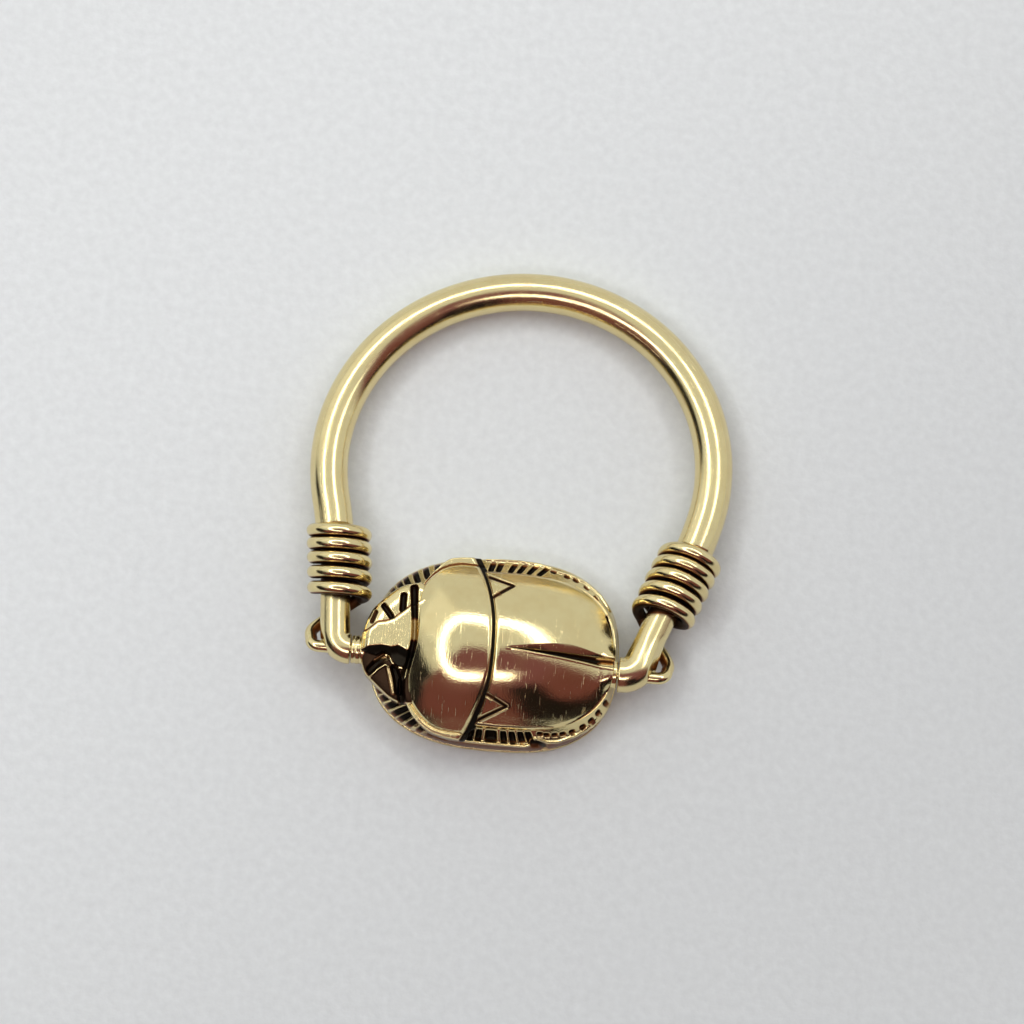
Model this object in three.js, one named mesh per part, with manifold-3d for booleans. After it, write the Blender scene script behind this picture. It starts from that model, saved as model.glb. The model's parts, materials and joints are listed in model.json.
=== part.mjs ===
import * as THREE from "three";
import { mergeVertices } from "three/addons/utils/BufferGeometryUtils.js";
import Module from "manifold-3d";

const wasm = await Module();
wasm.setup();

// A beetle on a swivel wire, carried by a bent hoop. Lengths are millimetres and angles degrees.
// +X runs along the swivel axis from the beetle's head to its tail, +Y from the axis to the far side of
// the hoop, +Z up from the surface that the ring lies on.

// Swivel and running fits
const swivelHeight = 2.2;
const wireDiameter = 0.64;
const wireClearance = 0.08;
const wrapClearance = 0.05;
const solderGap = 0.03;
const endPlay = 0.06;
const cutOverrun = 1;

// Hoop rod: an ellipse that leans a little in its own plane, with a straight leg down to each drilled end
const hoop = {
  rodDiameter: 2.0,
  legDiameter: 1.58,
  halfWidth: 10.19,
  halfHeight: 9.68,
  centreAcross: 0.8,
  centreReach: 10.52,
  turnAngle: 10.6,
  legHandleShare: 0.36,
  shoulderLength: 0.9,
};

// The two ends of the hoop. "across" is measured along the swivel axis from the middle of the ring
// outwards, "reach" from the axis to the far side of the hoop. A corner is tucked in from the widest place.
const headEnd = {
  outward: -1,
  cornerTuck: 1.37,
  leanAngle: 6.5,
  arcStartAngle: 184,
  elbowDiameter: 1.6,
  elbowCrease: 0.04,
  stubLength: 0.05,
  facetBeyond: 0.72,
  facetTurnAngle: -18,
  facetRollAngle: 22,
  coilReach: 3.02,
  coilPitch: 0.868,
  coilTighten: 0.022,
  coilInset: 0.22,
  coilLeanAngle: -5,
  shoulderBeyond: 0.1,
  crossReach: 2.05,
  loopReach: 1.0,
  loopDrop: 0.68,
  hookRadius: 0.42,
  hookAngle: 35,
  hookStandOff: 0.17,
};
const tailEnd = {
  outward: 1,
  cornerTuck: 3.11,
  leanAngle: 15,
  arcStartAngle: -22,
  elbowDiameter: 1.86,
  elbowCrease: 0.1,
  stubLength: 0.15,
  facetBeyond: 0.86,
  facetTurnAngle: -14,
  facetRollAngle: 24,
  coilReach: 3.5,
  coilPitch: 0.845,
  coilTighten: 0.018,
  coilInset: 0.0,
  coilLeanAngle: 12,
  shoulderBeyond: 0.3,
  crossReach: 2.3,
  loopReach: 1.0,
  loopDrop: 0.7,
  hookRadius: 0.48,
  hookAngle: 35,
  hookStandOff: 0.24,
};

// Where the corner and the flat inner face of each end lie across the ring
const ellipseTurn = THREE.MathUtils.degToRad(hoop.turnAngle);
const hoopSpan = Math.hypot(
  hoop.halfWidth * Math.cos(ellipseTurn),
  hoop.halfHeight * Math.sin(ellipseTurn),
);
const cornerAcross = (end) => hoopSpan + end.outward * hoop.centreAcross - end.cornerTuck;
const legOpening = (end) => Math.PI / 2 + THREE.MathUtils.degToRad(end.leanAngle);
const bendRadius = (end) => end.elbowDiameter / 2 + end.elbowCrease;
const bendTangent = (end) => bendRadius(end) / Math.tan(legOpening(end) / 2);
const faceAcross = (end) => cornerAcross(end) - bendTangent(end) - end.stubLength;

// Binding coils
const coil = {
  outsideDiameter: 3.45,
  turnCount: 5,
  startShare: 0.2,
  stepsPerTurn: 24,
  sides: 6,
};

// Beetle: "along" is measured from its middle towards the tail, "aside" square to that. It fills the space
// between the two faces, with more of the tube left showing at its head.
const beetle = {
  middleAcross: 0.08,
  headGap: 0.98,
  tailGap: 0.09,
  asideOffset: 0.62,
  yawAngle: 1.5,
  outlineSteps: 72,
  crownRings: 9,
};
const plate = {
  thickness: 0.5,
  lip: 0.06,
  bevel: 0.08,
};
const plinthWidest = 0.8;
const plinth = {
  widestAlong: plinthWidest,
  headLength: faceAcross(headEnd) - beetle.headGap + beetle.middleAcross + plinthWidest,
  tailLength: faceAcross(tailEnd) - beetle.tailGap - beetle.middleAcross - plinthWidest,
  halfWidth: 5.04,
  headPower: 2.6,
  tailPower: 2.55,
  footHeight: 0.95,
  bandInset: 0.28,
  bandHeight: 1.7,
};
// How far the upper forms stand in from the plinth, the nose out past it, and the thickness of the cast walls
const inset = {
  elytraHead: 0.1,
  elytraTail: 0.15,
  elytraSide: 0.9,
  prothoraxSide: 0.22,
  flangeWidth: 0.42,
  flangeFront: 0.25,
};
const nose = {
  widestAlong: -4.0,
  overhang: 0.3,
};
const wall = {
  head: 2.6,
  tail: 0.55,
  side: 0.64,
  roof: 0.7,
};
const elytra = {
  widestAlong: plinth.widestAlong,
  headLength: plinth.headLength - inset.elytraHead,
  tailLength: plinth.tailLength - inset.elytraTail,
  halfWidth: plinth.halfWidth - inset.elytraSide,
  headPower: 2.9,
  tailPower: 2.7,
  ridgeAlong: 0.3,
  crown: 4.98,
  headRadius: 10.5,
  tailRadius: 10.5,
  radiusAside: 5.0,
  rimDrop: 0.3,
  rimPower: 22,
};
const prothorax = {
  widestAlong: -1.3,
  headLength: 2.7,
  tailLength: 3.2,
  halfWidth: plinth.halfWidth - inset.prothoraxSide - inset.flangeWidth,
  headPower: 2.8,
  tailPower: 2.4,
  ridgeAlong: -1.9,
  crown: 5.0,
  headRadius: 4.3,
  tailRadius: 10,
  radiusAside: 5.5,
  rimDrop: 0.3,
  rimPower: 18,
};
// The prothorax's thin border: it rises to meet the head in the middle
const flange = {
  widestAlong: prothorax.widestAlong,
  headLength: prothorax.headLength + inset.flangeFront,
  tailLength: prothorax.tailLength,
  halfWidth: plinth.halfWidth - inset.prothoraxSide,
  headPower: 3,
  tailPower: 2.4,
  level: 2.72,
  frontRise: 0.75,
  riseHalfWidth: 2.3,
};
const head = {
  widestAlong: nose.widestAlong,
  headLength: nose.widestAlong - plinth.widestAlong + plinth.headLength + nose.overhang,
  tailLength: 1.0,
  halfWidth: 3.05,
  headPower: 1.8,
  tailPower: 2.0,
  underside: 1.5,
  edgeHeight: 2.85,
  lobeRise: 0.35,
  lobePower: 4,
  slopeShare: 0.16,
};
// The raised nose plate: its shares are of the way from the nose back to the prothorax, and of its half width
const nosePlate = {
  noseInset: 0.12,
  backAlong: -3.6,
  noseHeight: 3.38,
  asideMiddle: 0.05,
  halfWidth: 1.85,
  widthShares: [[0, 0.24], [0.2, 0.39], [0.45, 0.49], [0.65, 0.68], [0.8, 0.89], [1, 1]],
};
// Cuts between the lobes of the head, placed by shares of its length in front of its widest place and of
// its half width, and how far each is turned
const headSlot = {
  length: 0.8,
  width: 0.24,
  depth: 0.28,
};
const headSlots = [
  { alongShare: 0.58, asideShare: 0.53, turnAngle: -52 },
  { alongShare: 0.26, asideShare: 0.72, turnAngle: -88 },
  { alongShare: 0.62, asideShare: -0.47, turnAngle: 45 },
  { alongShare: 0.28, asideShare: -0.69, turnAngle: 82 },
];
const cavity = {
  widestAlong: plinth.widestAlong,
  headLength: plinth.headLength - wall.head,
  tailLength: plinth.tailLength - wall.tail,
  halfWidth: elytra.halfWidth - wall.side,
  headPower: 2.2,
  tailPower: 2.4,
  ridgeAlong: elytra.ridgeAlong,
  crown: elytra.crown - wall.roof,
  headRadius: elytra.headRadius - wall.roof,
  tailRadius: elytra.tailRadius - wall.roof,
  radiusAside: elytra.radiusAside - wall.roof,
  rimDrop: 0.3,
  rimPower: 12,
};
const grooves = {
  saddleAlong: 0.3,
  saddleBow: 1.02,
  saddleDepth: 0.14,
  underlap: 0.08,
  sutureStart: 0.8,
  sutureDepth: 0.18,
  steps: 16,
  sides: 4,
};
// The bars of the legs are cuts across the slanting band. Each run goes from one angle round the beetle to
// another, with the tail at 0, the near side below it and the far side above.
const bar = {
  width: 0.28,
  depth: 0.4,
  inset: 0.56,
  height: 2.04,
  slopeAngle: 50,
  curveSteps: 24,
};
const barRuns = [
  { fromAngle: -153, toAngle: -124, count: 6, length: 0.66 },
  { fromAngle: -97, toAngle: -78.5, count: 6, length: 0.6 },
  { fromAngle: -69, toAngle: -50.5, count: 4, length: 0.4 },
  { fromAngle: 95, toAngle: 77.5, count: 6, length: 0.6 },
  { fromAngle: 69, toAngle: 50.5, count: 4, length: 0.4 },
  { fromAngle: 153, toAngle: 124, count: 6, length: 0.66 },
];
const tube = {
  diameter: 1.5,
  sides: 32,
};

// Facet counts
const rodSides = 20;
const drillSides = 24;
const elbowSteps = 6;
const legSteps = 10;
const arcSteps = 44;
const tailSteps = 18;
const hookSteps = 7;
const mergeTolerance = 1e-5;

// Sizes that follow from those above
const wireRadius = wireDiameter / 2;
const boreRadius = wireRadius + wireClearance;
const coilRadius = coil.outsideDiameter / 2 - wireRadius;
const hoopReach = hoop.centreReach
  + Math.hypot(hoop.halfWidth * Math.sin(ellipseTurn), hoop.halfHeight * Math.cos(ellipseTurn));
const hoopTilt = Math.asin((swivelHeight - hoop.rodDiameter / 2) / hoopReach);
const plateTop = plate.thickness;
const backFloor = plateTop + solderGap;
const topAngle = 90;
const quarterTurn = 1 / 4;
const eighthTurn = 1 / 8;
const beetleFrame = new THREE.Matrix4()
  .makeRotationZ(THREE.MathUtils.degToRad(beetle.yawAngle))
  .setPosition(beetle.middleAcross, beetle.asideOffset, 0);
const facetAcross = (end) => cornerAcross(end) + end.facetBeyond;
const coilOffset = (end, turns) => end.coilPitch * turns - end.coilTighten * turns ** 2;
const farReach = (end) => end.coilReach + coilOffset(end, coil.turnCount - 1);

// Colours of the polished metal
const rodGold = new THREE.MeshStandardMaterial({ color: 0xbfa86a, roughness: 0.22, metalness: 1 });
const wireGold = new THREE.MeshStandardMaterial({ color: 0xc4a862, roughness: 0.2, metalness: 1 });
const castGold = new THREE.MeshStandardMaterial({ color: 0xbcab6c, roughness: 0.18, metalness: 1 });
const plateGold = new THREE.MeshStandardMaterial({ color: 0xb39a5c, roughness: 0.3, metalness: 1 });
const tubeGold = new THREE.MeshStandardMaterial({ color: 0xc8b477, roughness: 0.25, metalness: 1 });

// A closed body from rings of points: each ring is an array of Vector3, with a fan over the first and last
function closedRings(rings) {
  const sides = rings[0].length;
  const positions = rings.flat().flatMap((point) => point.toArray());
  const index = [];
  for (let ring = 0; ring < rings.length - 1; ring += 1) {
    for (let side = 0; side < sides; side += 1) {
      const here = ring * sides + side;
      const beside = ring * sides + (side + 1) % sides;
      index.push(here, beside, beside + sides, here, beside + sides, here + sides);
    }
  }
  const centres = [rings[0], rings[rings.length - 1]].map((ring) => {
    const middle = ring.reduce((sum, point) => sum.add(point), new THREE.Vector3());
    return middle.divideScalar(sides);
  });
  const firstCentre = rings.length * sides;
  const lastRing = (rings.length - 1) * sides;
  centres.forEach((centre) => positions.push(...centre.toArray()));
  for (let side = 0; side < sides; side += 1) {
    const next = (side + 1) % sides;
    index.push(firstCentre, next, side);
    index.push(firstCentre + 1, lastRing + side, lastRing + next);
  }
  const geometry = new THREE.BufferGeometry();
  geometry.setAttribute("position", new THREE.Float32BufferAttribute(positions, 3));
  geometry.setIndex(index);
  geometry.computeVertexNormals();
  return geometry;
}

// A round rod along points, with its own radius at each point and sections that never twist
function sweepRod(points, radii, sides, firstNormal) {
  const normal = firstNormal.clone();
  const rings = points.map((point, step) => {
    const before = points[Math.max(step - 1, 0)];
    const after = points[Math.min(step + 1, points.length - 1)];
    const tangent = after.clone().sub(before).normalize();
    normal.addScaledVector(tangent, -normal.dot(tangent)).normalize();
    const across = tangent.clone().cross(normal);
    return Array.from({ length: sides }, (_, side) => {
      const angle = 2 * Math.PI * side / sides;
      return point.clone()
        .addScaledVector(normal, radii[step] * Math.cos(angle))
        .addScaledVector(across, radii[step] * Math.sin(angle));
    });
  });
  return closedRings(rings);
}

// Solids for cutting and joining
function toSolid(geometry) {
  const bare = geometry.clone();
  bare.deleteAttribute("normal");
  bare.deleteAttribute("uv");
  const merged = mergeVertices(bare, mergeTolerance);
  const mesh = new wasm.Mesh({
    numProp: 3,
    vertProperties: new Float32Array(merged.attributes.position.array),
    triVerts: new Uint32Array(merged.index.array),
  });
  return new wasm.Manifold(mesh);
}

function toGeometry(solid) {
  const mesh = solid.getMesh();
  const geometry = new THREE.BufferGeometry();
  geometry.setAttribute("position", new THREE.Float32BufferAttribute(mesh.vertProperties, 3));
  geometry.setIndex(new THREE.BufferAttribute(mesh.triVerts, 1));
  geometry.computeVertexNormals();
  return geometry;
}

function named(name, geometry, material) {
  const mesh = new THREE.Mesh(geometry, material);
  mesh.name = name;
  return mesh;
}

// A cylinder along the swivel axis between two places across it
function axisCylinder(radius, fromAcross, toAcross, sides) {
  const cylinder = new THREE.CylinderGeometry(radius, radius, toAcross - fromAcross, sides);
  cylinder.rotateZ(Math.PI / 2);
  cylinder.translate((fromAcross + toAcross) / 2, 0, 0);
  return cylinder;
}

// Hoop centreline: the ellipse point at an angle, and which way the line runs there
function hoopPoint(degrees) {
  const angle = THREE.MathUtils.degToRad(degrees);
  const point = new THREE.Vector2(hoop.halfWidth * Math.cos(angle), hoop.halfHeight * Math.sin(angle));
  return point.rotateAround(new THREE.Vector2(), ellipseTurn)
    .add(new THREE.Vector2(hoop.centreAcross, hoop.centreReach));
}

function hoopDirection(degrees) {
  const angle = THREE.MathUtils.degToRad(degrees);
  const along = new THREE.Vector2(-hoop.halfWidth * Math.sin(angle), hoop.halfHeight * Math.cos(angle));
  return along.rotateAround(new THREE.Vector2(), ellipseTurn).normalize();
}

function legDirection(end) {
  const lean = THREE.MathUtils.degToRad(end.leanAngle);
  return new THREE.Vector2(end.outward * Math.sin(lean), Math.cos(lean));
}

// The leg's centreline from the flat inner face, round the elbow and up to the ellipse
function legLine(end) {
  const corner = new THREE.Vector2(end.outward * cornerAcross(end), 0);
  const up = legDirection(end);
  const inward = new THREE.Vector2(-end.outward, 0);
  const opening = legOpening(end);
  const centre = up.clone().add(inward).normalize()
    .multiplyScalar(bendRadius(end) / Math.sin(opening / 2)).add(corner);
  const bendStart = corner.clone().addScaledVector(inward, bendTangent(end));
  const bendEnd = corner.clone().addScaledVector(up, bendTangent(end));
  const sweep = end.outward * (Math.PI - opening);
  const bend = Array.from({ length: elbowSteps + 1 }, (_, step) => (
    bendStart.clone().rotateAround(centre, sweep * step / elbowSteps)
  ));
  const arcPoint = hoopPoint(end.arcStartAngle);
  const arcRun = hoopDirection(end.arcStartAngle).multiplyScalar(end.outward);
  const handle = hoop.legHandleShare * arcPoint.distanceTo(bendEnd);
  const leg = new THREE.CubicBezierCurve(
    bendEnd,
    bendEnd.clone().addScaledVector(up, handle),
    arcPoint.clone().addScaledVector(arcRun, -handle),
    arcPoint,
  );
  const face = bendStart.clone().addScaledVector(inward, end.stubLength);
  return [face, ...bend, ...leg.getPoints(legSteps).slice(1)];
}

// Rod radius by distance up the leg: thick at the elbow, thin under the coil, full past the shoulder
function rodRadius(end, reach) {
  const elbowRadius = end.elbowDiameter / 2;
  const legRadius = hoop.legDiameter / 2;
  const fullRadius = hoop.rodDiameter / 2;
  const neck = THREE.MathUtils.smoothstep(reach, 0, end.coilReach - coilRadius);
  const shoulderReach = farReach(end) + end.shoulderBeyond;
  const shoulder = THREE.MathUtils.smoothstep(reach, shoulderReach, shoulderReach + hoop.shoulderLength);
  return elbowRadius + (legRadius - elbowRadius) * neck + (fullRadius - legRadius) * shoulder;
}

function makeHoop() {
  const tailLeg = legLine(tailEnd);
  const headLeg = legLine(headEnd).reverse();
  const arcSpan = headEnd.arcStartAngle - tailEnd.arcStartAngle;
  const arc = Array.from({ length: arcSteps - 1 }, (_, step) => (
    hoopPoint(tailEnd.arcStartAngle + arcSpan * (step + 1) / arcSteps)
  ));
  const line = [...tailLeg, ...arc, ...headLeg];
  const radii = line.map((point) => rodRadius(point.x > 0 ? tailEnd : headEnd, point.y));
  const points = line.map((point) => new THREE.Vector3(point.x, point.y, 0));
  let solid = toSolid(sweepRod(points, radii, rodSides, new THREE.Vector3(0, 0, 1)));
  for (const end of [headEnd, tailEnd]) {
    solid = solid.subtract(toSolid(facetCutter(end)));
    const inner = end.outward * (faceAcross(end) - cutOverrun);
    const outer = end.outward * (facetAcross(end) + cutOverrun);
    const drill = axisCylinder(boreRadius, Math.min(inner, outer), Math.max(inner, outer), drillSides);
    solid = solid.subtract(toSolid(drill));
  }
  return named("hoop", toGeometry(solid), rodGold);
}

// The block that files a slanting flat on the outside of a drilled end
function facetCutter(end) {
  const turn = THREE.MathUtils.degToRad(end.facetTurnAngle);
  const roll = THREE.MathUtils.degToRad(end.facetRollAngle);
  const normal = new THREE.Vector3(
    end.outward * Math.cos(turn) * Math.cos(roll),
    Math.sin(turn) * Math.cos(roll),
    Math.sin(roll),
  );
  const size = cornerAcross(end);
  const block = new THREE.BoxGeometry(size, size, size);
  block.translate(size / 2, 0, 0);
  block.applyQuaternion(new THREE.Quaternion().setFromUnitVectors(new THREE.Vector3(1, 0, 0), normal));
  block.translate(end.outward * facetAcross(end), 0, 0);
  return block;
}

// The hoop's centreline from one drilled end up to the far side
function sideLine(end) {
  const span = topAngle - end.arcStartAngle;
  const arc = Array.from({ length: legSteps }, (_, step) => (
    hoopPoint(end.arcStartAngle + span * (step + 1) / legSteps)
  ));
  return [...legLine(end), ...arc];
}

// The point of that line at a distance from the swivel axis
function legPointAt(end, reach) {
  const line = sideLine(end);
  const next = line.findIndex((point) => point.y >= reach);
  const share = (reach - line[next - 1].y) / (line[next].y - line[next - 1].y);
  return line[next - 1].clone().lerp(line[next], share);
}

// Wire route on one side: turns from the far end, the crossing under the leg, then the hook into the bore
function wireRoute(end) {
  const near = legPointAt(end, end.coilReach);
  const far = legPointAt(end, farReach(end));
  const axis = new THREE.Vector3(far.x - near.x, far.y - near.y, 0).normalize();
  const inward = new THREE.Vector3(-end.outward * axis.y, end.outward * axis.x, 0);
  const lean = THREE.MathUtils.degToRad(end.coilLeanAngle);
  const top = new THREE.Vector3(0, 0, Math.cos(lean)).addScaledVector(axis, Math.sin(lean));
  const nearCentre = new THREE.Vector3(near.x, near.y, 0).addScaledVector(inward, end.coilInset);
  const lastFront = coil.turnCount - 1 + quarterTurn;
  const lastTurn = lastFront + quarterTurn + eighthTurn;
  const stepCount = Math.round((lastTurn + coil.startShare) * coil.stepsPerTurn);
  const loops = Array.from({ length: stepCount + 1 }, (_, step) => {
    const turn = step / coil.stepsPerTurn - coil.startShare;
    const angle = Math.PI - 2 * Math.PI * turn;
    return nearCentre.clone()
      .addScaledVector(axis, coilOffset(end, lastFront - turn))
      .addScaledVector(inward, coilRadius * Math.cos(angle))
      .addScaledVector(top, coilRadius * Math.sin(angle));
  });
  const outward = new THREE.Vector3(end.outward, 0, 0);
  const pitch = THREE.MathUtils.degToRad(end.hookAngle);
  const plunge = new THREE.Vector3(0, -Math.cos(pitch), Math.sin(pitch));
  const hookEnd = outward.clone().multiplyScalar(facetAcross(end) + end.hookStandOff);
  const hookCentre = hookEnd.clone().addScaledVector(plunge, -end.hookRadius);
  const hook = Array.from({ length: hookSteps + 1 }, (_, step) => {
    const angle = Math.PI / 2 * step / hookSteps;
    return hookCentre.clone()
      .addScaledVector(outward, end.hookRadius * Math.cos(angle))
      .addScaledVector(plunge, end.hookRadius * Math.sin(angle));
  });
  const crossing = legPointAt(end, end.crossReach);
  const under = rodRadius(end, end.crossReach) + wireRadius + wrapClearance;
  const beforeHook = new THREE.Vector3(hook[0].x, end.loopReach, -end.loopDrop);
  const bridge = new THREE.CatmullRomCurve3([
    ...loops.slice(-2),
    new THREE.Vector3(crossing.x, crossing.y, -under),
    beforeHook,
    ...hook.slice(0, 2),
  ], false, "centripetal");
  const bridgePoints = bridge.getSpacedPoints(tailSteps)
    .filter((point) => point.distanceTo(loops[loops.length - 1]) > wireRadius / 2)
    .filter((point) => point.distanceTo(loops[loops.length - 2]) > wireRadius)
    .filter((point) => point.distanceTo(hook[0]) > wireRadius / 2)
    .filter((point) => point.distanceTo(hook[1]) > wireRadius);
  return [...loops, ...bridgePoints, ...hook];
}

// The narrowest space between stretches of the wire that lie beside each other
function leastGap(points) {
  const near = Math.round(coil.stepsPerTurn / 2);
  let least = Infinity;
  points.forEach((point, index) => {
    points.slice(index + near).forEach((other) => {
      least = Math.min(least, point.distanceTo(other));
    });
  });
  return least - wireDiameter;
}

function makeWire() {
  const points = [...wireRoute(headEnd), ...wireRoute(tailEnd).reverse()];
  console.log(`swivel wire: least gap to itself ${leastGap(points).toFixed(2)} mm`);
  const radii = points.map(() => wireRadius);
  return named("swivel_wire", sweepRod(points, radii, coil.sides, new THREE.Vector3(0, 1, 0)), wireGold);
}

// An oval whose head and tail halves have their own length and squareness, as a share of its full size
function ovalPoint(oval, angle, share) {
  const cosine = Math.cos(angle);
  const sine = Math.sin(angle);
  const length = cosine < 0 ? oval.headLength : oval.tailLength;
  const power = 2 / (cosine < 0 ? oval.headPower : oval.tailPower);
  return new THREE.Vector2(
    oval.widestAlong + share * length * Math.sign(cosine) * Math.abs(cosine) ** power,
    share * oval.halfWidth * Math.sign(sine) * Math.abs(sine) ** power,
  );
}

function ovalRing(oval, share, height) {
  return Array.from({ length: beetle.outlineSteps }, (_, step) => {
    const point = ovalPoint(oval, 2 * Math.PI * step / beetle.outlineSteps, share);
    return new THREE.Vector3(point.x, point.y, height(point.x, point.y));
  });
}

// How far a place lies out in an oval: 0 in the middle, 1 at the edge
function ovalShare(oval, along, aside) {
  const fromWidest = along - oval.widestAlong;
  const length = fromWidest < 0 ? oval.headLength : oval.tailLength;
  const power = fromWidest < 0 ? oval.headPower : oval.tailPower;
  const sum = Math.abs(fromWidest / length) ** power + Math.abs(aside / oval.halfWidth) ** power;
  return Math.min(sum ** (1 / power), 1);
}

// How far a round of a radius falls away at a distance from its ridge
const fallAway = (radius, distance) => radius - Math.sqrt(radius ** 2 - distance ** 2);

// Height of a cast crown: it falls away along and aside as two rounds, and quickly at its rim
function crownHeight(crown, along, aside) {
  const rim = crown.rimDrop * ovalShare(crown, along, aside) ** crown.rimPower;
  const fromRidge = along - crown.ridgeAlong;
  return crown.crown - rim
    - fallAway(fromRidge < 0 ? crown.headRadius : crown.tailRadius, fromRidge)
    - fallAway(crown.radiusAside, aside);
}

// A solid from a floor up to a height law over an oval
function crownSolid(oval, floor, heightAt) {
  const rings = [ovalRing(oval, 1, () => floor)];
  for (let ring = 0; ring < beetle.crownRings; ring += 1) {
    rings.push(ovalRing(oval, Math.cos(Math.PI / 2 * ring / beetle.crownRings), heightAt));
  }
  return toSolid(closedRings(rings));
}

function insetOval(oval, inset) {
  return {
    ...oval,
    headLength: oval.headLength - inset,
    tailLength: oval.tailLength - inset,
    halfWidth: oval.halfWidth - inset,
  };
}

// Where the prothorax meets the elytra: a line bowed towards the tail in the middle
function saddleAlong(aside) {
  return grooves.saddleAlong - grooves.saddleBow * (aside / prothorax.halfWidth) ** 2;
}

// Everything behind that line, or behind one that lies a little nearer the head
function rearBlock(forward) {
  const side = plinth.halfWidth + cutOverrun;
  const shape = new THREE.Shape();
  for (let step = 0; step <= grooves.steps; step += 1) {
    const aside = side * (2 * step / grooves.steps - 1);
    if (step === 0) shape.moveTo(saddleAlong(aside) - forward, aside);
    else shape.lineTo(saddleAlong(aside) - forward, aside);
  }
  const behind = plinth.widestAlong + plinth.tailLength + cutOverrun;
  shape.lineTo(behind, side);
  shape.lineTo(behind, -side);
  const block = new THREE.ExtrudeGeometry(shape, { depth: elytra.crown + cutOverrun, bevelEnabled: false });
  return toSolid(block);
}

function saddleGroove() {
  const points = Array.from({ length: grooves.steps + 1 }, (_, step) => {
    const aside = elytra.halfWidth * (2 * step / grooves.steps - 1);
    const along = saddleAlong(aside);
    const height = Math.max(crownHeight(elytra, along, aside), crownHeight(prothorax, along, aside));
    return new THREE.Vector3(along, aside, height);
  });
  const radii = points.map(() => grooves.saddleDepth);
  return toSolid(sweepRod(points, radii, grooves.sides, new THREE.Vector3(0, 0, 1)));
}

// The line between the wing cases, which widens towards the tail
function sutureGroove() {
  const end = elytra.widestAlong + elytra.tailLength;
  const points = Array.from({ length: grooves.steps + 1 }, (_, step) => {
    const along = grooves.sutureStart + (end - grooves.sutureStart) * step / grooves.steps;
    return new THREE.Vector3(along, 0, crownHeight(elytra, along, 0));
  });
  const radii = points.map((_, step) => grooves.sutureDepth * (step + 1) / (grooves.steps + 1));
  return toSolid(sweepRod(points, radii, grooves.sides, new THREE.Vector3(0, 0, 1)));
}

// Legs band and plinth: straight foot, near-upright wall, then the slanting band up under the wing cases
function plinthSolid() {
  const band = insetOval(plinth, plinth.bandInset);
  const rings = [
    ovalRing(plinth, 1, () => backFloor),
    ovalRing(plinth, 1, () => plinth.footHeight),
    ovalRing(band, 1, () => plinth.bandHeight),
    ovalRing(elytra, 1, (along, aside) => crownHeight(elytra, along, aside)),
  ];
  return toSolid(closedRings(rings));
}

// The prothorax's border, a little slab that rises towards the head
function flangeHeight(along, aside) {
  const rise = along < flange.widestAlong ? Math.exp(-((aside / flange.riseHalfWidth) ** 2)) : 0;
  const forward = Math.min((flange.widestAlong - along) / flange.headLength, 1);
  return flange.level + flange.frontRise * rise * Math.max(forward, 0);
}

function headHeight(along, aside) {
  const share = ovalShare(head, along, aside);
  const slope = head.slopeShare * (along - head.widestAlong + head.headLength);
  return head.edgeHeight + head.lobeRise * (1 - share ** head.lobePower) + slope;
}

// The raised plate in the middle of the head, narrow at the nose, sloping up to the prothorax
function nosePlateSolid() {
  const front = head.widestAlong - head.headLength + nosePlate.noseInset;
  const back = nosePlate.backAlong;
  const rise = head.slopeShare * (back - front);
  const rings = nosePlate.widthShares.map(([share, widthShare]) => {
    const along = front + (back - front) * share;
    const halfWidth = nosePlate.halfWidth * widthShare;
    const top = nosePlate.noseHeight + rise * share;
    return [
      new THREE.Vector3(along, nosePlate.asideMiddle - halfWidth, head.underside),
      new THREE.Vector3(along, nosePlate.asideMiddle + halfWidth, head.underside),
      new THREE.Vector3(along, nosePlate.asideMiddle + halfWidth, top),
      new THREE.Vector3(along, nosePlate.asideMiddle - halfWidth, top),
    ];
  });
  return toSolid(closedRings(rings));
}

// Blocks that part the lobes of the head, each open to well above it
function headCuts() {
  return headSlots.map((slot) => {
    const along = head.widestAlong - slot.alongShare * head.headLength;
    const aside = slot.asideShare * head.halfWidth;
    const bottom = headHeight(along, aside) - headSlot.depth;
    const block = new THREE.BoxGeometry(headSlot.length, headSlot.width, cutOverrun);
    block.rotateZ(THREE.MathUtils.degToRad(slot.turnAngle));
    block.translate(along, aside, bottom + cutOverrun / 2);
    return toSolid(block);
  });
}

// Blocks laid across the slanting band, square to its outline and evenly spaced along each run
function barCuts() {
  const band = insetOval(plinth, bar.inset);
  return barRuns.flatMap((run) => {
    const span = run.toAngle - run.fromAngle;
    const curve = new THREE.CatmullRomCurve3(Array.from({ length: bar.curveSteps + 1 }, (_, step) => {
      const angle = THREE.MathUtils.degToRad(run.fromAngle + span * step / bar.curveSteps);
      const point = ovalPoint(band, angle, 1);
      return new THREE.Vector3(point.x, point.y, bar.height);
    }));
    return Array.from({ length: run.count }, (_, step) => {
      const place = curve.getPointAt(step / (run.count - 1));
      const line = curve.getTangentAt(step / (run.count - 1)).multiplyScalar(Math.sign(span));
      const block = new THREE.BoxGeometry(run.length, bar.width, bar.depth);
      block.rotateY(THREE.MathUtils.degToRad(bar.slopeAngle));
      block.rotateZ(Math.atan2(-line.x, line.y));
      block.translate(place.x, place.y, place.z);
      return toSolid(block);
    });
  });
}

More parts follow.
